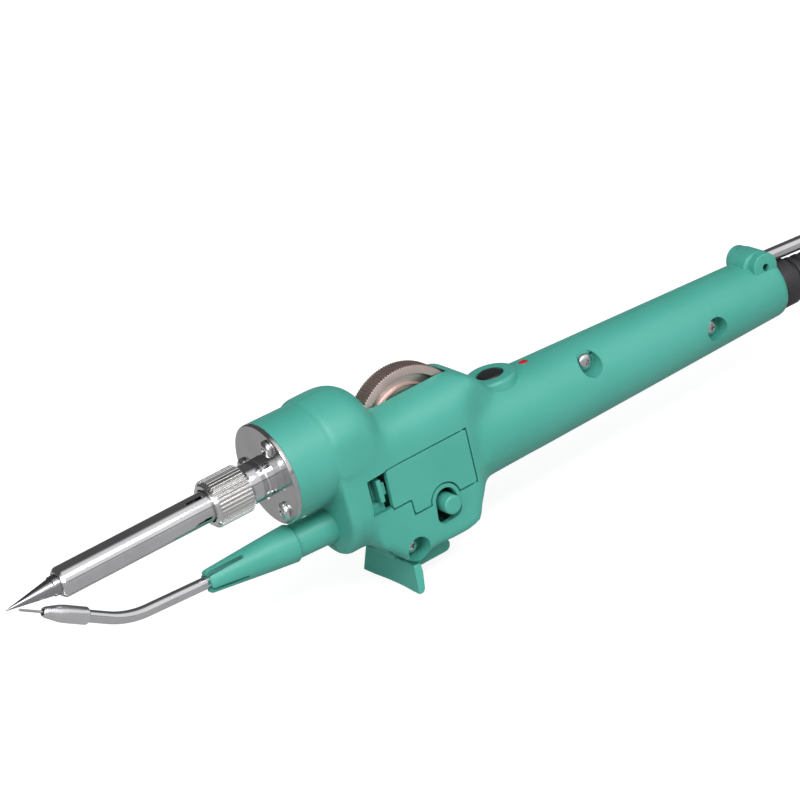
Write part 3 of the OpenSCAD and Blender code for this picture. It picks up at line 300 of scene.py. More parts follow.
# %% [markdown]
# ## Modelling helpers
# Everything is modelled in millimetres, counted as in the source of the part: X from the
# front plate.  settle() scales a finished mesh to metres and moves it into the frame, so
# that its object stays at the origin.

# %% Modelling helpers
def active(piece):
    bpy.ops.object.select_all(action="DESELECT")
    piece.select_set(True)
    bpy.context.view_layer.objects.active = piece
    return piece


def rod(radius, low, high, axis="X", far_radius=None, sides=96, name="rod"):
    """A closed cylinder or cone between two end centres."""
    low, high = Vector(low), Vector(high)
    bpy.ops.object.select_all(action="DESELECT")
    bpy.ops.mesh.primitive_cone_add(
        vertices=sides, radius1=radius, radius2=radius if far_radius is None else far_radius,
        depth=(high - low).length, location=(low + high) / 2,
        rotation=(high - low).to_track_quat("Z", "Y").to_euler())
    piece = bpy.context.active_object
    piece.name = name
    bpy.ops.object.transform_apply()
    return piece


def block(low, high, name="block"):
    """A box between two corners."""
    low, high = Vector(low), Vector(high)
    bpy.ops.object.select_all(action="DESELECT")
    bpy.ops.mesh.primitive_cube_add(size=1, location=(low + high) / 2)
    piece = bpy.context.active_object
    piece.name = name
    piece.scale = high - low
    bpy.ops.object.transform_apply()
    return piece


def slab(outline, low, high, axis="Y", name="slab"):
    """A flat outline pushed along one axis: points are (X, Z) for Y, (Y, Z) for X, (X, Y) for Z."""
    bpy.ops.object.select_all(action="DESELECT")
    bpy.ops.mesh.primitive_circle_add(vertices=len(outline), radius=1, fill_type="NGON")
    piece = bpy.context.active_object
    piece.name = name
    for corner, (a, b) in zip(piece.data.vertices, outline):
        corner.co = {"X": (low, a, b), "Y": (a, low, b), "Z": (a, b, low)}[axis]
    shift = {"X": (high - low, 0, 0), "Y": (0, high - low, 0), "Z": (0, 0, high - low)}[axis]
    bpy.ops.object.mode_set(mode="EDIT")
    bpy.ops.mesh.select_all(action="SELECT")
    bpy.ops.mesh.extrude_region_move(TRANSFORM_OT_translate={"value": shift})
    bpy.ops.mesh.select_all(action="SELECT")
    bpy.ops.mesh.normals_make_consistent(inside=False)
    bpy.ops.object.mode_set(mode="OBJECT")
    return piece


def turned(profile, start=(0, 0, 0), axis=(1, 0, 0), sides=96, name="turned"):
    """A profile of (place along the axis, radius), spun round that axis into a closed form."""
    axis = Vector(axis).normalized()
    side = axis.orthogonal().normalized()
    points = [Vector(start) + axis * along + side * radius for along, radius in profile]
    mesh = bpy.data.meshes.new(name)
    mesh.from_pydata(points, [(i, i + 1) for i in range(len(points) - 1)], [])
    piece = bpy.data.objects.new(name, mesh)
    bpy.context.scene.collection.objects.link(piece)
    active(piece)
    bpy.ops.object.mode_set(mode="EDIT")
    bpy.ops.mesh.select_all(action="SELECT")
    bpy.ops.mesh.spin(steps=sides, angle=math.tau, center=start, axis=axis)
    bpy.ops.mesh.select_all(action="SELECT")
    bpy.ops.mesh.remove_doubles(threshold=0.0005)
    bpy.ops.mesh.normals_make_consistent(inside=False)
    bpy.ops.object.mode_set(mode="OBJECT")
    return piece


def carve(piece, tool, operation="DIFFERENCE", keep_tool=False):
    """One closed form cut out of, joined to, or kept inside another."""
    modifier = piece.modifiers.new("carve", "BOOLEAN")
    modifier.operation = operation
    modifier.object = tool
    modifier.solver = "MANIFOLD"
    before = len(piece.data.vertices)
    active(piece)
    bpy.ops.object.modifier_apply(modifier="carve")
    if len(piece.data.vertices) == before and operation != "INTERSECT":
        print("note:", tool.name, "did not change", piece.name)
    if not keep_tool:
        bpy.data.objects.remove(tool)
    return piece


def joined(pieces, name):
    active(pieces[0])
    for piece in pieces:
        piece.select_set(True)
    bpy.ops.object.join()
    pieces[0].name = name
    return pieces[0]


def modify(piece, kind, **settings):
    modifier = piece.modifiers.new(kind.lower(), kind)
    for key, value in settings.items():
        setattr(modifier, key, value)
    active(piece)
    bpy.ops.object.modifier_apply(modifier=modifier.name)
    return piece


def soften(piece, width, segments=3, angle=35):
    """Rounds every edge that is sharper than the angle."""
    return modify(piece, "BEVEL", width=width, segments=segments, limit_method="ANGLE",
                  angle_limit=math.radians(angle), harden_normals=False)


def shade(piece, angle=32):
    active(piece)
    bpy.ops.object.shade_smooth_by_angle(angle=math.radians(angle))
    return piece


TO_FRAME = Matrix.Translation((NUT_FRONT * MM, 0, 0)) @ Matrix.Scale(MM, 4)


def settle(piece, name, body, finish, stands_for=(), angle=32):
    piece.data.transform(TO_FRAME)
    piece.name = name
    piece.data.materials.clear()
    piece.data.materials.append(finish)
    shade(piece, angle)
    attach(piece, body)
    if stands_for:
        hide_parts(*stands_for)
    print(name, "faces:", len(piece.data.polygons))
    return piece


def copy_of_node(node, width=0.0, segments=2, angle=35):
    """A merged copy of a CAD node in millimetres, with its sharp edges rounded."""
    piece = nodes[node].copy()
    piece.data = nodes[node].data.copy()
    piece.parent = None
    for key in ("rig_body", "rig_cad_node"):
        if key in piece:
            del piece[key]
    bpy.context.scene.collection.objects.link(piece)
    piece.data.transform(TO_FRAME.inverted())
    active(piece)
    bpy.ops.object.mode_set(mode="EDIT")
    bpy.ops.mesh.select_all(action="SELECT")
    bpy.ops.mesh.remove_doubles(threshold=0.002)
    bpy.ops.mesh.customdata_custom_splitnormals_clear()
    bpy.ops.mesh.dissolve_limited(angle_limit=math.radians(0.6))
    bpy.ops.object.mode_set(mode="OBJECT")
    if width:
        soften(piece, width, segments, angle)
    return piece


def ring_points(cx, cy, radius, start, end, steps=12):
    """Points along an arc, from the start angle to the end angle in degrees."""
    return [(cx + radius * math.cos(math.radians(start + (end - start) * i / steps)),
             cy + radius * math.sin(math.radians(start + (end - start) * i / steps)))
            for i in range(steps + 1)]


def toothed(teeth, shape, centre=(0, 0)):
    """An outline of equal teeth; shape gives one tooth as (share of the pitch, radius)."""
    outline = []
    for tooth in range(teeth):
        for step, radius in shape:
            angle = math.tau * (tooth + step) / teeth
            outline.append((centre[0] + radius * math.cos(angle), centre[1] + radius * math.sin(angle)))
    return outline


def aimed(place, way, forward="Z"):
    """A placement whose forward axis points along the way."""
    return Matrix.Translation(place) @ Vector(way).to_track_quat(forward, "Y").to_matrix().to_4x4()


# %% [markdown]
# ## Housing skin
# The real housing is moulded in two halves, and its round shoulder, lower lobe and flat
# sides flow into one another.  The main forms are made as plain solids, fused by a voxel
# remesh, and relaxed where they meet, which gives the soft blends.  The relaxed form is
# then hollowed and cut with crisp tools, because door seams and screw pockets stay sharp.

# %% Main forms of the housing
PLATE_T, NOSE_END = 1.5, 15.6
BODY_HALF, BODY_TOP, BODY_BOTTOM = 15.3, 5.6, -42.3
TOP_ROUND, LOW_ROUND = 12, 2
SHOULDER_R, SHOULDER_RIM, SHOULDER_BACK, SHOULDER_DEPTH = 17.2, 2.2, 10.2, 20.4
SHOULDER_HALF = 16.3
LOBE_R, LOBE_RIM, LOBE_DEPTH, LOBE_Z = 15.8, 1.4, 17.4, -19.5
HANDLE_ROOT = Vector((68.0, 0.0, -19.68))
HANDLE_END_X, HANDLE_TILT = 194.0, math.radians(1.34)
HANDLE_ROOT_R, HANDLE_END_R, HANDLE_RIM, HANDLE_FACE_R = 14.9, 10.86, 2.4, 8.45
handle_way = Vector((math.cos(HANDLE_TILT), 0, -math.sin(HANDLE_TILT)))
handle_length = (HANDLE_END_X - HANDLE_ROOT.x) / math.cos(HANDLE_TILT)
PIVOT_X, PIVOT_Z = 35.8, -39.3

shoulder = turned(
    [(0, 0), (0, SHOULDER_R - SHOULDER_RIM)]
    + ring_points(SHOULDER_RIM, SHOULDER_R - SHOULDER_RIM, SHOULDER_RIM, 165, 90, 5)
    + ring_points(SHOULDER_BACK, SHOULDER_R - SHOULDER_BACK, SHOULDER_BACK, 90, 0, 9)
    + [(SHOULDER_DEPTH, 0)],
    start=(NOSE_END, 0, 0), name="shoulder")
carve(shoulder, block((0, -SHOULDER_HALF, -30), (60, SHOULDER_HALF, 30), "side_trim"), "INTERSECT")
lobe = turned(
    [(0, 0), (0, LOBE_R - LOBE_RIM)]
    + ring_points(LOBE_RIM, LOBE_R - LOBE_RIM, LOBE_RIM, 165, 90, 5)
    + [(LOBE_DEPTH, LOBE_R), (LOBE_DEPTH, 0)],
    start=(NOSE_END, 0, LOBE_Z), name="lobe")
neck = slab([(NOSE_END, -14.4), (NOSE_END + 0.4, -15.4), (NOSE_END + 1.4, -LOBE_R), (33, -LOBE_R),
             (33, LOBE_R), (NOSE_END + 1.4, LOBE_R), (NOSE_END + 0.4, 15.4), (NOSE_END, 14.4)],
            LOBE_Z, 0, "Z", "neck")
fillet = slab([(56, -26), (70.5, -26), (70.5, -31.5), (67, -32.8), (64, -34.4), (62, -36.4), (60.8, -38.8),
               (59.4, -40.9), (56, -41.8)], -BODY_HALF, BODY_HALF, "Y", "fillet")
fillet_plan = [(50, -BODY_HALF), (62.5, -BODY_HALF), (72, -7),
               (72, 7), (62.5, BODY_HALF), (50, BODY_HALF)]
carve(fillet, slab(fillet_plan, -60, 0, "Z", "fillet_plan"), "INTERSECT")
slope = [(65, BODY_TOP), (67.8, 5.05), (70.6, 3.6), (73.4, 1.2), (79, -5.4), (79, -18), (65, -27.7),
         (62, -30.4), (60.2, -34), (58, -39.1), (57, -40.7), (55.4, BODY_BOTTOM),
         (33.4, BODY_BOTTOM), (24, -34), (24, BODY_TOP)]
body = slab(slope, -30, 30, "Y", "body")
section = (ring_points(BODY_HALF - TOP_ROUND, BODY_TOP - TOP_ROUND, TOP_ROUND, 0, 90)
           + ring_points(-BODY_HALF + TOP_ROUND, BODY_TOP - TOP_ROUND, TOP_ROUND, 90, 180)
           + ring_points(-BODY_HALF + LOW_ROUND, BODY_BOTTOM + LOW_ROUND, LOW_ROUND, 180, 270, 5)
           + ring_points(BODY_HALF - LOW_ROUND, BODY_BOTTOM + LOW_ROUND, LOW_ROUND, 270, 360, 5))
carve(body, slab(section, 0, 120, "X", "section"), "INTERSECT")
plan = [(0, -BODY_HALF), (63, -BODY_HALF), (80, -7.8), (80, 7.8), (63, BODY_HALF), (0, BODY_HALF)]
carve(body, slab(plan, -80, 80, "Z", "plan"), "INTERSECT")
handle = turned([(0, 0), (0, HANDLE_ROOT_R), (handle_length - HANDLE_RIM, HANDLE_END_R)]
                + ring_points(handle_length - HANDLE_RIM, HANDLE_FACE_R, HANDLE_RIM, 80, 0, 8)
                + [(handle_length, 0)], start=HANDLE_ROOT, axis=handle_way, name="handle")
low_boss = rod(4.9, (PIVOT_X, -BODY_HALF, PIVOT_Z), (PIVOT_X, BODY_HALF, PIVOT_Z), name="low_boss")
nose_core = rod(15.6, (8, 0, 0), (20, 0, 0), name="nose_core")
print("main forms made")

# %% [markdown]
# The voxel remesh turns overlapping solids into one skin of even quads.  A vertex group
# then says how much each place may relax: fully around the body, hardly at the front
# rims, and only a little along the handle.

# %% Fuse and relax
VOXEL = 0.7
SKIN_T, RIB_TRIM, GROOVE_DEPTH = 1.6, 1.1, 0.2
form = joined([shoulder, lobe, neck, fillet, body, handle, low_boss, nose_core], "housing_form")
form.data.remesh_voxel_size = VOXEL
form.data.use_remesh_preserve_volume = False
active(form)
bpy.ops.object.voxel_remesh()
print("remeshed faces:", len(form.data.polygons))


def fade(value, low, high):
    share = min(1.0, max(0.0, (value - low) / (high - low)))
    return share * share * (3 - 2 * share)


relax = form.vertex_groups.new(name="relax")
for vertex in form.data.vertices:
    x, y, z = vertex.co
    front = fade(x, NOSE_END + 1.0, NOSE_END + 9.0)
    back = 1 - fade(x, 84, 96)
    flat = 1 - 0.75 * fade(-z, 34, 40) * fade(x, 42, 50)
    relax.add([vertex.index], max(0.0, front * back * flat), "REPLACE")
modify(form, "SMOOTH", factor=0.5, iterations=70, vertex_group="relax")
modify(form, "SMOOTH", factor=0.5, iterations=3)
print("relaxed:", [round(v, 2) for v in form.dimensions])

# %% [markdown]
# The relaxed form is solid.  A copy that is drawn in along its normals is taken out of it
# to leave a thin skin, and another copy trims the CAD halves to their inside, so the
# ribs, bosses and pillars of the real moulding stay where the frame has them.

# %% Hollow the skin
def drawn_in(depth, name):
    inner = form.copy()
    inner.data = form.data.copy()
    inner.name = name
    bpy.context.scene.collection.objects.link(inner)
    modify(inner, "DISPLACE", strength=-depth, mid_level=0.0, direction="NORMAL")
    return inner


inner_form = drawn_in(RIB_TRIM, "inner_form")
groove_form = drawn_in(GROOVE_DEPTH, "groove_form")
carve(form, drawn_in(SKIN_T, "core_form"))
print("skin faces:", len(form.data.polygons))

# %% [markdown]
# Nose, button pad and lug keep crisp rims, so they are turned or cut on their own and
# joined to the skin after it has been relaxed.

# %% Nose, pad and lug
nose = turned([(0, 0), (0, 16.35), (0.15, 16.5), (14.1, 16.15), (16, 16.1), (16, 0)],
              start=(PLATE_T, 0, 0), sides=128, name="nose")
carve(nose, turned([(-1, 0), (-1, 13.6), (15, 13.6), (15, 0)], start=(5, 0, 0), name="nose_room"))
PAD_X, PAD_TOP, PAD_R, PAD_RIM, PAD_DEPTH = 84.0, -4.7, 8.4, 1.2, 15
LAMP_X = 96.7
pad_foot = (PAD_X, 0, PAD_TOP - PAD_DEPTH)
pad = turned([(0, 0), (0, PAD_R)]
             + ring_points(PAD_DEPTH - PAD_RIM, PAD_R - PAD_RIM, PAD_RIM, 90, 0, 6)
             + [(PAD_DEPTH, 0)], start=pad_foot, axis=(0, 0, 1), name="pad")
carve(pad, turned([(-1, 0), (-1, 7), (12.8, 7), (12.8, 0)], start=pad_foot,
                  axis=(0, 0, 1), name="pad_room"))
LUG_X, LUG_Z, EAR_HALF = 188.8, -13.2, 7.6
lug = slab(ring_points(LUG_X, LUG_Z, 5, -20, 80, 12)
           + [(186.3, -8.3), (184.4, -9.0), (182.9, -10.6), (182.2, -12.8), (181.6, -17.5), (184.0, -22),
              (194, -22)], -4.6, 4.6, "Y", "lug")
soften(lug, 1.1, 4)
ear = rod(4.7, (LUG_X, -EAR_HALF, LUG_Z), (LUG_X, EAR_HALF, LUG_Z), name="ear")
soften(ear, 0.5, 3)
lug = carve(lug, ear, "UNION")
carve(lug, rod(9, HANDLE_ROOT, HANDLE_ROOT + handle_way * 124, name="lug_room"))

# %% [markdown]
# ## Openings
# The door frame, the latch recess, the knob's slot, the wheel's slot, the screw pockets
# and the openings at both ends are cut with plain tools at the places of the CAD cuts.

# %% Cutting tools
SEAM = 0.5
DOOR_SEAT, SEAT_R = (49.2, -28.4), 5.6
WHEEL, WHEEL_R = (50.6, -6.65), 19.6
DOOR_CORNERS = [(31.6, -10.1), (62, -10.1), (61.3, -27.8), (37.7, -27.8), (37.7, -22.8), (30.9, -22.8)]
outward = [(-1, 1), (1, 1), (1, -1), (-1, -1), (-1, -1), (-1, -1)]
door_edge = [(x + SEAM * right, z + SEAM * up) for (x, z), (right, up) in zip(DOOR_CORNERS, outward)]
recess_edge = [(24.15, -10.2), (31.8, -9.8), (31.2, -22.2), (23.45, -22.2)]


def around(points):
    """The convex outline around points, counted anticlockwise."""
    points = sorted(points)
    outline = []
    for run in (points, points[::-1]):
        part = []
        for p in run:
            while len(part) > 1 and ((part[-1][0] - part[-2][0]) * (p[1] - part[-2][1])
                                     - (part[-1][1] - part[-2][1]) * (p[0] - part[-2][0])) <= 1e-9:
                part.pop()
            part.append(p)
        outline += part[:-1]
    return outline


knob_slot = around(ring_points(*DOOR_SEAT, 3.9, 0, 350, 35) + ring_points(47.3, -33.1, 2.6, 0, 350, 35)
                   + ring_points(51.2, -32.6, 2.6, 0, 350, 35))
FEED_TILT = math.radians(3)
NIP_GAP, WIRE_R = 0.25, 0.4
FEED_Z = WHEEL[1] - WHEEL_R - NIP_GAP - WIRE_R


def feed_point(along, up=0.0):
    """A place on the wire's path, counted from under the wheel toward the bit."""
    return Vector((WHEEL[0] - along * math.cos(FEED_TILT) + up * math.sin(FEED_TILT), 0,
                   FEED_Z + along * math.sin(FEED_TILT) + up * math.cos(FEED_TILT)))


SCREWS = [(PIVOT_X, PIVOT_Z, -9.0), (114.0, -12.8, -7.0), (162.5, -22.6, -7.0)]


def tools_for(side):
    """Fresh closed tools for the openings of one side: -1 is the door side, 1 the far side."""
    tools = [rod(20.3, (WHEEL[0], -3.9, WHEEL[1]), (WHEEL[0], 3.9, WHEEL[1]), name="wheel_slot"),
             rod(4.5, (PAD_X, 0, -10), (PAD_X, 0, 0), name="button_hole"),
             rod(1.56, (LAMP_X, 0, -14), (LAMP_X, 0, 2), name="lamp_hole"),
             rod(5.55, feed_point(28), feed_point(44), name="bush_hole"),
             block((29.6, -7.9, -46), (52.8, 11.1, -39.4), "trigger_opening"),
             rod(2.3, (184, 0, -12.82), (210, 0, -14.87), name="inlet_hole"),
             rod(5.45, HANDLE_ROOT + handle_way * 110 + Vector((0, 0, -2)),
                 HANDLE_ROOT + handle_way * 130 + Vector((0, 0, -2)), name="boot_hole"),
             rod(13.6, (-2, 0, 0), (18, 0, 0), name="nose_hole")]
    if side < 0:
        door_tool = slab(door_edge, -20, -12.4, "Y", "door_frame")
        seat = rod(SEAT_R - SEAM, (DOOR_SEAT[0], -22, DOOR_SEAT[1]), (DOOR_SEAT[0], -10, DOOR_SEAT[1]),
                   name="arc_seat")
        carve(door_tool, seat)
        tools += [door_tool, slab(recess_edge, -20, -12.4, "Y", "latch_recess"),
                  slab(knob_slot, -20, -11, "Y", "knob_slot"),
                  rod(1.25, (LUG_X, -12, LUG_Z), (LUG_X, 0, LUG_Z), name="lug_hole")]
        tools += [rod(4.0, (x, -20, z), (x, seat_y, z), name="screw_pocket") for x, z, seat_y in SCREWS]
    return tools


# %% [markdown]
# Each half keeps its side of the middle plane, less a hairline gap, and a shallow groove
# follows the joint round the outside as the parting line that moulded halves show.

# %% Make both halves
FAR = 300
JOINT_HALF, GROOVE_HALF = 0.03, 0.16


def housing_half(node, side):
    if side > 0:
        half_space = block((-FAR, JOINT_HALF, -FAR), (FAR, FAR, FAR))
    else:
        half_space = block((-FAR, -FAR, -FAR), (FAR, -JOINT_HALF, FAR))
    parts = []
    groove = block((-20, -GROOVE_HALF, -80), (210, GROOVE_HALF, 40), "groove")
    carve(groove, groove_form, keep_tool=True)
    for source in (form, nose, pad, lug):
        part = source.copy()
        part.data = source.data.copy()
        bpy.context.scene.collection.objects.link(part)
        carve(part, half_space, "INTERSECT", keep_tool=True)
        if source is form:
            carve(part, groove)
        for tool in tools_for(side):
            carve(part, tool)
        parts.append(part)
    bpy.data.objects.remove(half_space)
    inside = copy_of_node(node)
    carve(inside, inner_form, "INTERSECT", keep_tool=True)
    parts.append(inside)
    return joined(parts, node + "_shell")


halves = {}
for node, side in (("housing_right", -1), ("housing_left", 1)):
    halves[node] = housing_half(node, side)
    print(node, "faces:", len(halves[node].data.polygons))
for leftover in (form, nose, pad, lug, inner_form, groove_form):
    bpy.data.objects.remove(leftover)
for node, shell in halves.items():
    settle(shell, node + "_shell", "iron", green_plastic, (node,), angle=38)

# %% [markdown]
# ## Heater end
# Sleeve, ferrule, plate and bit are lathe work, so each is a profile spun round the heater
# axis with small rounded edges, which catch the light as polished edges do.

# %% Sleeve, bit and ferrule
NUT_REAR, NUT_FACE = -8.3, -22.0
SLEEVE_FRONT = -76.5


def rounded(points, radius, steps=3):
    """A profile whose inner corners are rounded; ends stay as they are."""
    result = [points[0]]
    for before, corner, after in zip(points, points[1:], points[2:]):
        a, c, b = Vector(before), Vector(corner), Vector(after)
        reach = min(radius, (a - c).length * 0.45, (b - c).length * 0.45)
        start, end = c + (a - c).normalized() * reach, c + (b - c).normalized() * reach
        for i in range(steps + 1):
            t = i / steps
            point = start * (1 - t) ** 2 + c * 2 * t * (1 - t) + end * t ** 2
            result.append(tuple(point))
    result.append(points[-1])
    return result


sleeve = turned(rounded(
    [(1.0, 3.27), (1.0, 3.9), (2.3, 4.9), (58.1, 4.9), (58.3, 4.9), (58.3, 5.8), (59.3, 5.8), (59.3, 4.1),
     (2.0, 4.1), (2.0, 3.27), (1.0, 3.27)], 0.3), start=(SLEEVE_FRONT, 0, 0), sides=128, name="sleeve")
for angle in (24, 114, 204, 294):
    slot = slab(around(ring_points(-23.5, 0, 0.5, -90, 90, 8) + ring_points(-28.9, 0, 0.5, 90, 270, 8)),
                0, 9, "Z", "sleeve_slot")
    slot.data.transform(Matrix.Rotation(math.radians(angle), 4, "X"))
    carve(sleeve, slot)
settle(sleeve, "barrel_sleeve_polished", "iron", chrome, ("barrel_sleeve",), 28)

bit = turned(rounded(
    [(-16.7, 0.0), (-16.7, 0.16), (-9.2, 1.42), (-1.2, 2.75), (-0.9, 3.15), (0.9, 3.2), (2.1, 3.2),
     (2.1, 4.04), (3.5, 4.04), (3.5, 3.2), (26, 3.2), (26, 0)], 0.12),
    start=(SLEEVE_FRONT, 0, 0), sides=96, name="bit")
carve(bit, rod(2.05, (SLEEVE_FRONT + 0.9, 0, 0), (SLEEVE_FRONT + 30, 0, 0), name="bit_bore"))
settle(bit, "soldering_bit_plated", "iron", bit_plating, ("soldering_bit",), 28)

ferrule = turned(rounded(
    [(-8.9, 4.5), (-8.9, 5.9), (0, 5.9), (0, 6.2), (0.25, 6.45), (5.0, 6.45), (5.15, 6.25), (5.45, 6.25),
     (5.6, 6.45), (9.8, 6.45), (9.8, 8.6), (11.0, 8.6), (11.0, 4.5), (-8.9, 4.5)], 0.1),
    start=(NUT_REAR, 0, 0), sides=128, name="ferrule")
pip = rod(0.55, (NUT_REAR + 5.3, -3.0, -5.4), (NUT_REAR + 5.3, -3.35, -6.0), name="locking_pip", sides=24)
ferrule = joined([ferrule, pip], "ferrule")
settle(ferrule, "ferrule_polished", "iron", chrome, ("heater_ferrule",), 28)

plate = turned(rounded(
    [(0, 6.5), (0, 16.1), (0.25, 16.5), (1.35, 16.5), (1.5, 16.3), (1.5, 6.5), (0, 6.5)], 0.08),
    sides=160, name="plate")
PLATE_SCREW_RING = 12.2
plate_spots = [Vector((0, -PLATE_SCREW_RING * math.sin(math.radians(a)),
                       PLATE_SCREW_RING * math.cos(math.radians(a)))) for a in (30, 150, 270)]
for spot in plate_spots:
    carve(plate, rod(1.55, spot - Vector((3, 0, 0)), spot + Vector((3, 0, 0)), name="screw_hole", sides=32))
settle(plate, "front_plate_polished", "iron", plate_chrome, ("front_plate",), 28)

# %% [markdown]
# The nut's knurl is straight: forty ridges with rounded crests.  One cross section with
# ridges is pushed along the axis, and both ends are chamfered by a cone that is kept in
# common with it.

# %% Knurled nut
RIDGES = 40
ridge = ((0.0, 6.98), (0.13, 7.25), (0.26, 7.66), (0.42, 7.75), (0.58, 7.75), (0.74, 7.66), (0.87, 7.25))
nut = slab(toothed(RIDGES, ridge), NUT_FACE, NUT_REAR - 0.05, "X", "nut")
envelope = turned([(-1, 0), (-1, 6.3), (0.05, 6.5), (1.0, 7.5), (1.35, 7.9), (12.4, 7.9), (12.75, 7.5),
                   (13.6, 6.75), (14.6, 6.6), (14.6, 0)], start=(NUT_FACE, 0, 0), sides=160,
                  name="nut_envelope")
carve(nut, envelope, "INTERSECT")
carve(nut, turned([(-1, 0), (-1, 5.7), (0, 5.45), (0.35, 5.25), (3.7, 5.25), (3.75, 5.95), (15, 5.95),
                   (15, 0)], start=(NUT_FACE, 0, 0), sides=96, name="nut_bore"))
settle(nut, "knurled_nut", "nut", nickel, ("barrel_nut",), 24)

# %% [markdown]
# ## Screws
# One pan head is modelled: a low dome with a rounded rim and a tapered cross recess.  It
# is copied to the plate and to the pockets of the housing.

# %% Screw heads
def cross_screw(name):
    """A pan head screw along +Z, with its seat at the origin."""
    dome = [(-0.02, 0), (-0.02, 2.75), (0.75, 2.8), (1.35, 2.35), (1.75, 1.5), (1.9, 0)]
    head = turned(rounded(dome, 0.35, 4), axis=(0, 0, 1), sides=48, name=name)
    for turn_by in (0, 90):
        blade = slab([(-1.35, 2.6), (-0.65, 0.8), (0.65, 0.8), (1.35, 2.6)], -0.3, 0.3, "Y", "blade")
        blade.data.transform(Matrix.Rotation(math.radians(turn_by), 4, "Z"))
        carve(head, blade)
    shank = rod(1.4, (0, 0, -8.9), (0, 0, 0.4), name="shank", sides=32)
    return joined([head, shank], name)


def placed_screws(spots, way, name, twist, length=1.0):
    """A screw at each spot, its head along the way; length stretches the shanks."""
    copies = []
    for index, spot in enumerate(spots):
        screw = cross_screw(f"{name}_{index}")
        for vertex in screw.data.vertices:
            if vertex.co.z < -1:
                vertex.co.z *= length
        screw.data.transform(aimed(spot, way) @ Matrix.Rotation(math.radians(twist[index]), 4, "Z"))
        copies.append(screw)
    return joined(copies, name)


settle(placed_screws(plate_spots, (-1, 0, 0), "plate_screw_set", (20, 63, 5)), "plate_screw_set", "iron",
       screw_steel, ("plate_screws",), 30)
pocket_spots = [Vector((x, y, z)) for x, z, y in SCREWS]
settle(placed_screws(pocket_spots, (0, -1, 0), "housing_screw_set", (15, 40, 75), 1.34),
       "housing_screw_set", "iron", screw_steel, ("housing_screws",), 30)

# %% [markdown]
# ## Thumb wheel
# The rim is knurled with fine straight teeth.  Its side steps down from a flat outer ring
# into a groove and up again to a raised disc with a bright chamfer, as on turned wheels.

# %% Thumb wheel
TEETH = 132
tooth = ((0.0, 19.15), (0.25, 19.2), (0.5, 19.58), (0.75, 19.2))
wheel = slab(toothed(TEETH, tooth, WHEEL), -3.35, 3.35, "Y", "wheel")
carve(wheel, turned([(-8.2, 0), (-8.2, 4.3), (-8.0, 4.4), (-3.0, 4.4), (-3.0, 13.1), (-3.2, 13.4),
                     (-1.55, 13.75), (-1.55, 16.2), (-1.7, 16.4), (-3.1, 16.5), (-3.35, 16.75),
                     (-3.35, 19.0), (-3.0, 19.8), (3.0, 19.8), (3.35, 19.0), (3.35, 16.75), (3.1, 16.5),
                     (1.7, 16.4), (1.55, 16.2), (1.55, 13.75), (3.2, 13.4), (3.35, 13.1), (3.35, 0)],
                    start=(WHEEL[0], 0, WHEEL[1]), axis=(0, 1, 0), sides=180, name="wheel_envelope"),
      "INTERSECT")
hub = turned(rounded([(-8.2, 2.5), (-8.2, 4.4), (3.0, 4.4), (3.0, 2.5), (-8.2, 2.5)], 0.2),
             start=(WHEEL[0], 0, WHEEL[1]), axis=(0, 1, 0), sides=64, name="hub")
carve(wheel, rod(2.5, (WHEEL[0], -9, WHEEL[1]), (WHEEL[0], 9, WHEEL[1]), name="hub_bore"))
settle(joined([wheel, hub], "wheel"), "knurled_wheel", "wheel", rose_metal,
       ("thumb_wheel",), 26)

# %% [markdown]
# ## Wire feed
# The collet nut is a tapered plastic nut whose front is split into four jaws.  The feed
# tube is one bent chrome tube, swept as a single surface so that its reflection runs
# through the bend without a kink.

# %% Bush, collet nut and nozzle
feed_way = (feed_point(1) - feed_point(0)).normalized()
BUSH_FRONT = 48.8 / math.cos(FEED_TILT)
FACE = 35.0 / math.cos(FEED_TILT)
bush = turned(rounded(
    [(FACE - 4.0, 2.0), (FACE - 4.0, 7.5), (FACE - 2.2, 7.5), (FACE - 2.2, 5.5), (BUSH_FRONT, 5.5),
     (BUSH_FRONT, 4.3), (BUSH_FRONT + 12, 4.3), (BUSH_FRONT + 12, 2.0), (FACE - 4.0, 2.0)], 0.35),
    start=feed_point(0), axis=feed_way, sides=96, name="bush")
settle(bush, "outlet_bush_moulded", "iron", green_plastic, ("outlet_bush",), 30)

collet = turned(rounded(
    [(0.05, 4.35), (0.05, 5.9), (0.5, 6.2), (10, 5.5), (30.3, 3.75), (31, 3.3), (31, 2.0), (12.2, 2.0),
     (12.2, 4.35), (0.05, 4.35)], 0.5, 4), start=feed_point(BUSH_FRONT), axis=feed_way, sides=96,
    name="collet")
to_collet = aimed(feed_point(BUSH_FRONT), feed_way)
for angle in (59, 149):
    slit_outline = around(ring_points(0.55, 18.95, 0.7, 180, 360, 6) + [(-0.35, 33), (1.45, 33)])
    slit = slab(slit_outline, -8, 8, "Y", "slit")
    slit.data.transform(Matrix.Translation((-0.55, 0, 0)))
    slit.data.transform(to_collet @ Matrix.Rotation(math.radians(angle), 4, "Z"))
    carve(collet, slit)
settle(collet, "collet_nut_moulded", "collet", green_plastic, ("collet_nut",), 30)

# %% Bent feed tube
BEND_START, BEND_RADIUS, BEND = 101.0, 28.0, math.radians(28.4)
TAIL = 9.5
END_RIM = 0.15
NOZZLE_SEAT, NOZZLE_LENGTH = 4, 16.9


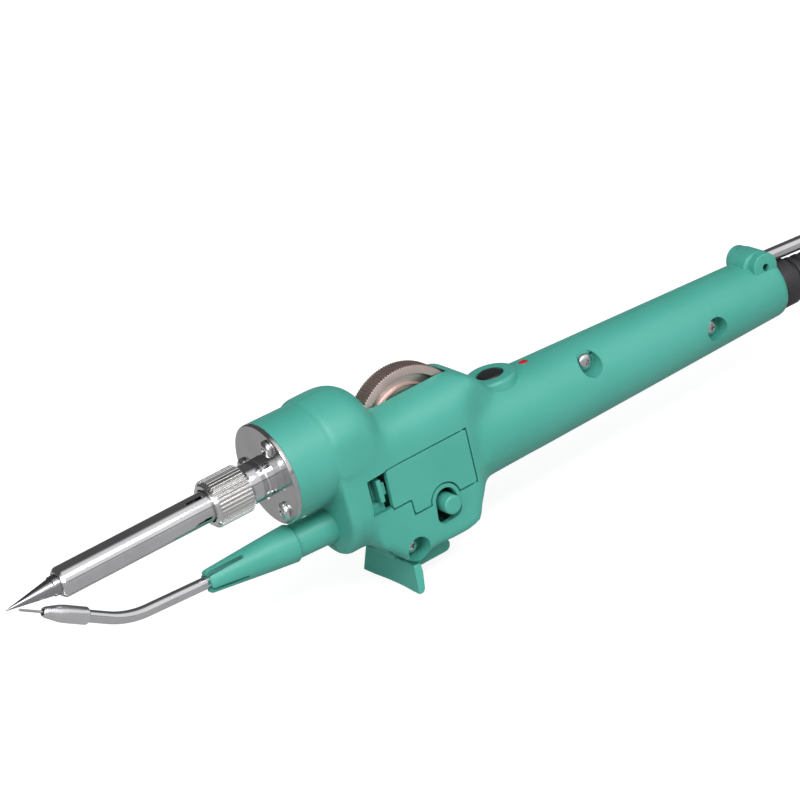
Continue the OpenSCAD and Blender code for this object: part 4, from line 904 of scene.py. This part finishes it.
def along_tube(run):
    """A place on the tube's middle line, and its direction, by the length run from under the wheel."""
    lead = BEND_START
    bend_run = BEND_RADIUS * BEND
    if run <= lead:
        return feed_point(run), feed_way
    angle = min(run - lead, bend_run) / BEND_RADIUS
    point = feed_point(lead + BEND_RADIUS * math.sin(angle), BEND_RADIUS * (1 - math.cos(angle)))
    rise = FEED_TILT + angle
    way = Vector((-math.cos(rise), 0, math.sin(rise)))
    return point + way * max(0.0, run - lead - bend_run), way


def swept(radius, bore, start, end, name, sides=48, step=1.0):
    """A tube swept along the wire's path, closed at both ends by a rounded rim."""
    rings = []
    count = int((end - start) / step) + 1
    runs = [start + (end - start) * i / count for i in range(count + 1)]
    outer = ([(runs[0], radius - END_RIM), (runs[0] + END_RIM, radius)]
             + [(run, radius) for run in runs[1:-1]]
             + [(runs[-1] - END_RIM, radius), (runs[-1], radius - END_RIM)])
    loop = outer + ([(run, bore) for run in reversed(runs)] if bore else [])
    mesh = bmesh.new()
    for run, reach in loop:
        point, way = along_tube(run)
        side, up = Vector((0, 1, 0)), Vector((0, 1, 0)).cross(way)
        rings.append([mesh.verts.new(point + reach * (side * math.cos(math.tau * k / sides)
                                                      + up * math.sin(math.tau * k / sides)))
                      for k in range(sides)])
    pairs = list(zip(rings, rings[1:])) + ([(rings[-1], rings[0])] if bore else [])
    for first, second in pairs:
        for k in range(sides):
            mesh.faces.new((first[k], first[(k + 1) % sides], second[(k + 1) % sides], second[k]))
    if not bore:
        mesh.faces.new(rings[0])
        mesh.faces.new(list(reversed(rings[-1])))
    bmesh.ops.recalc_face_normals(mesh, faces=mesh.faces)
    data = bpy.data.meshes.new(name)
    mesh.to_mesh(data)
    mesh.free()
    piece = bpy.data.objects.new(name, data)
    bpy.context.scene.collection.objects.link(piece)
    return piece


TUBE_START = BUSH_FRONT + 3
TUBE_END = BEND_START + BEND_RADIUS * BEND + TAIL
settle(swept(1.95, 1.05, TUBE_START, TUBE_END, "tube"), "feed_tube_polished", "feed_pipe", chrome,
       ("feed_tube",), 30)
nozzle_end = TUBE_END - NOZZLE_SEAT + NOZZLE_LENGTH
settle(swept(WIRE_R, 0, TUBE_START + 0.2, nozzle_end + 8, "wire", sides=16), "solder_wire_end",
       "feed_pipe", tin, ("solder_tip",), 30)
nozzle_start, nozzle_way = along_tube(TUBE_END - NOZZLE_SEAT)
nozzle = turned(rounded(
    [(1.8, 2.0), (1.8, 2.45), (2.1, 2.75), (9.6, 2.75), (11.4, 2.62), (16.0, 1.75),
     (NOZZLE_LENGTH, 1.3), (NOZZLE_LENGTH, 0.9),
     (4.1, 0.9), (4.1, 2.0), (1.8, 2.0)], 0.3), start=nozzle_start, axis=nozzle_way, sides=96, name="nozzle")
settle(nozzle, "nozzle_polished", "feed_pipe", nozzle_metal, ("nozzle",), 30)

# %% [markdown]
# ## Door, latch, knob and trigger
# The door is the CAD outline with rounded corners and edges.  The knob is turned with a
# generous rounding, and the trigger's paddle is a dished plate with softened edges, joined
# to the upper half of the CAD trigger.

# %% Door and latch
DOOR_T = 2.0
door_arc = ring_points(*DOOR_SEAT, SEAT_R, 173.9, 6.1, 18)
door_outline = DOOR_CORNERS[:3] + list(reversed(door_arc)) + DOOR_CORNERS[3:]


def eased(points, radius, steps=4, sharp=60):
    """An outline whose sharp corners are rounded."""
    result = []
    count = len(points)
    for i in range(count):
        a, c, b = Vector(points[i - 1]), Vector(points[i]), Vector(points[(i + 1) % count])
        if (c - a).angle(b - c) < math.radians(sharp):
            result.append(tuple(c))
            continue
        reach = min(radius, (a - c).length * 0.45, (b - c).length * 0.45)
        start, end = c + (a - c).normalized() * reach, c + (b - c).normalized() * reach
        result += [tuple(start * (1 - t) ** 2 + c * 2 * t * (1 - t) + end * t ** 2)
                   for t in (k / steps for k in range(steps + 1))]
    return result


door = slab(eased(door_outline, 0.8), -BODY_HALF, -BODY_HALF + DOOR_T, "Y", "door")
soften(door, 0.14, 2, 40)
pins = [rod(0.5, (60.6, -14.6, z0), (60.6, -14.6, z1), name="hinge_pin", sides=24)
        for z0, z1 in ((-11.1, -8.9), (-29.0, -26.8))]
settle(joined([door] + pins, "door"), "feed_door_panel", "door", green_plastic,
       ("feed_door",), 20)
settle(copy_of_node("door_latch", 0.18), "door_latch_tab", "latch", green_plastic,
       ("door_latch",), 20)

# %% Knob
KNOB = (49.8, -30.05)
knob = turned(rounded(
    [(0, 0), (0, 2.5), (0.45, 3.1), (8.0, 3.1), (8.0, 2.3), (4.0, 2.3), (4.0, 0)], 0.55, 5),
    start=(KNOB[0], -17.9, KNOB[1]), axis=(0, 1, 0), sides=64, name="knob")
settle(knob, "tension_knob_moulded", "arm", green_plastic, ("tension_knob",), 30)

# %% Trigger
PADDLE_HALF, PADDLE_TOP = 14.8, -45.1
paddle_side = [(31.33, -53.0), (32.0, -53.6), (33.2, -53.7), (34.2, -52.5), (35.0, -50.0), (35.7, -47.6),
               (35.9, -44.9), (33.2, -44.9)]
paddle = slab(eased(paddle_side, 0.4), -PADDLE_HALF, PADDLE_HALF + 2, "Y", "paddle")
front_view = eased([(-14.8, -53.8), (16.6, -53.8), (14.2, -44.6), (-12.6, -44.6)], 1.0)
carve(paddle, slab(front_view, 20, 60, "X", "paddle_front"), "INTERSECT")
DISH = 0.9
dish_r = (PADDLE_HALF ** 2 + DISH ** 2) / (2 * DISH)
lean = Matrix.Translation((33.2, 0, PADDLE_TOP)) @ Matrix.Rotation(math.radians(11), 4, "Y")
dish = rod(dish_r, (DISH - dish_r, 0, -20), (DISH - dish_r, 0, 20), name="dish", sides=360)
dish.data.transform(lean)
carve(paddle, dish)
soften(paddle, 0.5, 4, 30)
upper = copy_of_node("trigger")
carve(upper, block((0, -40, -70), (35.9, 40, -44.95), "below_hub"))
settle(joined([upper, paddle], "trigger_piece"), "trigger_moulded", "trigger", green_plastic,
       ("trigger",), 30)

# %% [markdown]
# ## Handle end, button and lamp
# The steel inlet tube enters the lug, and the cord leaves through a ribbed rubber boot.
# The button is a low plastic dome in its pad, and the lamp a small red lens.

# %% Inlet tube and boot
INLET_TILT = math.radians(4.5)
INLET_BEHIND = 2.3
inlet_start = Vector((LUG_X - INLET_BEHIND, 0, LUG_Z + INLET_BEHIND * math.tan(INLET_TILT)))
inlet_way = Vector((math.cos(INLET_TILT), 0, -math.sin(INLET_TILT)))
inlet_length = 7.5 / math.cos(INLET_TILT) + 38
inlet = turned(rounded([(0, 1.3), (0, 2.25), (inlet_length, 2.25), (inlet_length, 1.3), (0, 1.3)], 0.3),
               start=inlet_start, axis=inlet_way, sides=64, name="inlet")
settle(inlet, "inlet_tube_polished", "iron", chrome, ("inlet_tube",), 30)

BOOT_DROP, BOOT_BORE = 2.0, 3.1
RIBS, RIBS_START, RIBS_END = 9, 7, 38
RIB_ROOT_R, RIB_TIP_R = 7.0, 4.6
boot_start = HANDLE_ROOT + handle_way * handle_length - Vector((-handle_way.z, 0, handle_way.x)) * BOOT_DROP
profile = [(-7.9, BOOT_BORE), (-7.9, 7.0), (-6.3, 7.0), (-6.3, 5.4), (0.3, 5.4), (0.3, 8.0), (6.6, 8.0),
           (7.0, 7.4)]
pitch = (RIBS_END - RIBS_START) / RIBS
for rib in range(RIBS):
    low = RIBS_START + (RIBS_END - RIBS_START) * rib / RIBS
    radius = RIB_ROOT_R + (RIB_TIP_R - RIB_ROOT_R) * rib / RIBS
    profile += [(low + 0.10 * pitch, radius - 1.0), (low + 0.38 * pitch, radius - 1.0),
                (low + 0.5 * pitch, radius - 0.1), (low + 0.95 * pitch, radius - 0.15)]
profile += [(RIBS_END, 4.5), (RIBS_END, BOOT_BORE), (-7.9, BOOT_BORE)]
boot = turned(rounded(profile, 0.3, 2), start=boot_start, axis=handle_way, sides=72, name="boot")
settle(boot, "cord_boot_ribbed", "iron", black_rubber, ("cord_boot",), 34)

# %% Button and lamp
CAP_DEPTH, CAP_FLANGE = 2.2, 0.8
cap_low = PAD_TOP - CAP_DEPTH - CAP_FLANGE
cap = turned(rounded([(0, 0), (0, 5.1), (0.8, 5.1), (0.8, 4.2), (2.75, 4.2), (3.35, 3.5), (3.5, 2.0),
                      (3.6, 0)], 0.35, 4), start=(PAD_X, 0, cap_low), axis=(0, 0, 1), sides=72, name="cap")
settle(cap, "button_cap_moulded", "button", black_plastic, ("button_cap",), 34)
lamp_low, lamp_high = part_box("status_lamp")
lamp_foot = lamp_low.z / MM
lamp_height = lamp_high.z / MM - lamp_foot
lens = turned(rounded([(0, 0), (0, 1.5), (lamp_height - 0.45, 1.5), (lamp_height - 0.1, 0.9),
                       (lamp_height, 0)], 0.3, 4),
              start=(LAMP_X, 0, lamp_foot), axis=(0, 0, 1), sides=48, name="lens")
settle(lens, "status_lamp_lens", "iron", red_lens, ("status_lamp",), 34)

# %% [markdown]
# ## Inner parts
# Roller, arm, ratchet, pawl, springs, guides, liner, board and holder keep their CAD
# shapes, which are right, and take finishes of their own.

# %% Dress the inner parts
inner_finish = {
    "heater_core": ceramic, "heater_holder": mica, "wheel_axle": satin, "ratchet_gear": dark_steel,
    "idler_roller": satin, "tension_arm": green_plastic, "tension_pin": satin, "tension_spring": satin,
    "drive_pawl": dark_steel, "trigger_spring": satin, "rear_guide": brass, "front_guide": brass,
    "solder_liner": white_plastic, "control_board": board, "tact_switch": black_plastic,
    "solder_wire": tin,
}
for node, finish in inner_finish.items():
    nodes[node].data.materials.clear()
    nodes[node].data.materials.append(finish)
print("dressed nodes:", len(inner_finish))

# %% [markdown]
# ## Floor, light and surroundings
# A pale floor lies under the trigger.  The world is a bright tent with a darker back, so
# that chrome shows the white and dark bands of studio metal, and it is plain white where the
# camera looks at it.  A large lamp above the door side draws the soft highlight along the
# handle, a weaker one fills from the front, and a rear one keeps the far side from going dark.

# %% Floor
FLOOR_Z = -0.0542
FLOOR_SEEN, FLOOR_MIRRORED = 0.86, 0.10
bpy.ops.object.select_all(action="DESELECT")
bpy.ops.mesh.primitive_plane_add(size=6, location=(0.1, 0, FLOOR_Z))
floor = bpy.context.active_object
floor.name = "floor"
bpy.ops.object.transform_apply()
paper = Finish("pale_floor", Roughness=0.9)
paper.feed(Base_Color=paper.blend(paper.noise(3, 2), (0.52, 0.52, 0.52, 1), (0.55, 0.55, 0.55, 1)))
rays = paper.tree.nodes.new("ShaderNodeLightPath")
looked_at = Tone(paper, rays.outputs["Is Camera Ray"])
mirrored = Tone(paper, rays.outputs["Is Glossy Ray"]) + Tone(paper, rays.outputs["Is Transmission Ray"])
seen = looked_at + mirrored
glow = paper.add("ShaderNodeEmission", inputs={
    "Color": (1, 1, 1, 1), "Strength": looked_at * FLOOR_SEEN + mirrored * FLOOR_MIRRORED})
soft = paper.add("ShaderNodeBsdfDiffuse", inputs={"Color": (0.30, 0.30, 0.30, 1)})
white = paper.add("ShaderNodeAddShader", inputs={0: glow, 1: soft})
mixed = paper.add("ShaderNodeMixShader", inputs={
    0: seen, 1: Tone(paper, paper.main.outputs[0]), 2: white})
paper.tree.links.new(mixed.socket, paper.tree.nodes["Material Output"].inputs["Surface"])
floor.data.materials.append(paper.material)

# %% World and lamps
TENT_STRENGTH, TENT_FLOOR, SEEN_WHITE = 0.75, 0.13, 1.33
world = bpy.data.worlds.new("studio")
bpy.context.scene.world = world
tent = Finish("studio", target=world)
outward_way = tent.add("ShaderNodeTexCoord", output="Generated")
across, height = tent.part(outward_way, 1), tent.part(outward_way, 2)
front = across.ramp(0.12, -0.26)
horizon = (height - 0.09).sum_with("ABSOLUTE", 0.0).ramp(0.10, 0.05)
tent_level = front * (1.0 - horizon * 0.75) * 1.05 + TENT_FLOOR
plain = Tone(tent, tent.tree.nodes.new("ShaderNodeLightPath").outputs["Is Camera Ray"])
level = tent_level * (1.0 - plain) + plain * SEEN_WHITE
back = tent.tree.nodes["Background"]
tent.plug(back.inputs["Color"], tent.add("ShaderNodeCombineColor", inputs={0: level, 1: level, 2: level}))
back.inputs["Strength"].default_value = TENT_STRENGTH


def lamp(name, place, aim, size, watts):
    light = bpy.data.lights.new(name, "AREA")
    light.shape = "RECTANGLE"
    light.size, light.size_y = size
    light.energy = watts
    lamp_object = bpy.data.objects.new(name, light)
    bpy.context.scene.collection.objects.link(lamp_object)
    lamp_object.matrix_world = aimed(place, Vector(aim) - Vector(place), "-Z")
    return lamp_object


PART_MIDDLE = (0.09, 0, 0)
lamp("key", (-0.02, -0.80, 0.85), PART_MIDDLE, (0.9, 0.35), 10.5)
lamp("fill", (-0.9, -0.5, 0.35), PART_MIDDLE, (0.6, 0.6), 3.0)
rear = lamp("rear", (0.15, 0.9, 0.12), PART_MIDDLE, (0.9, 0.4), 4.5)
rear.visible_glossy = False
bpy.context.scene.view_settings.view_transform = "Standard"
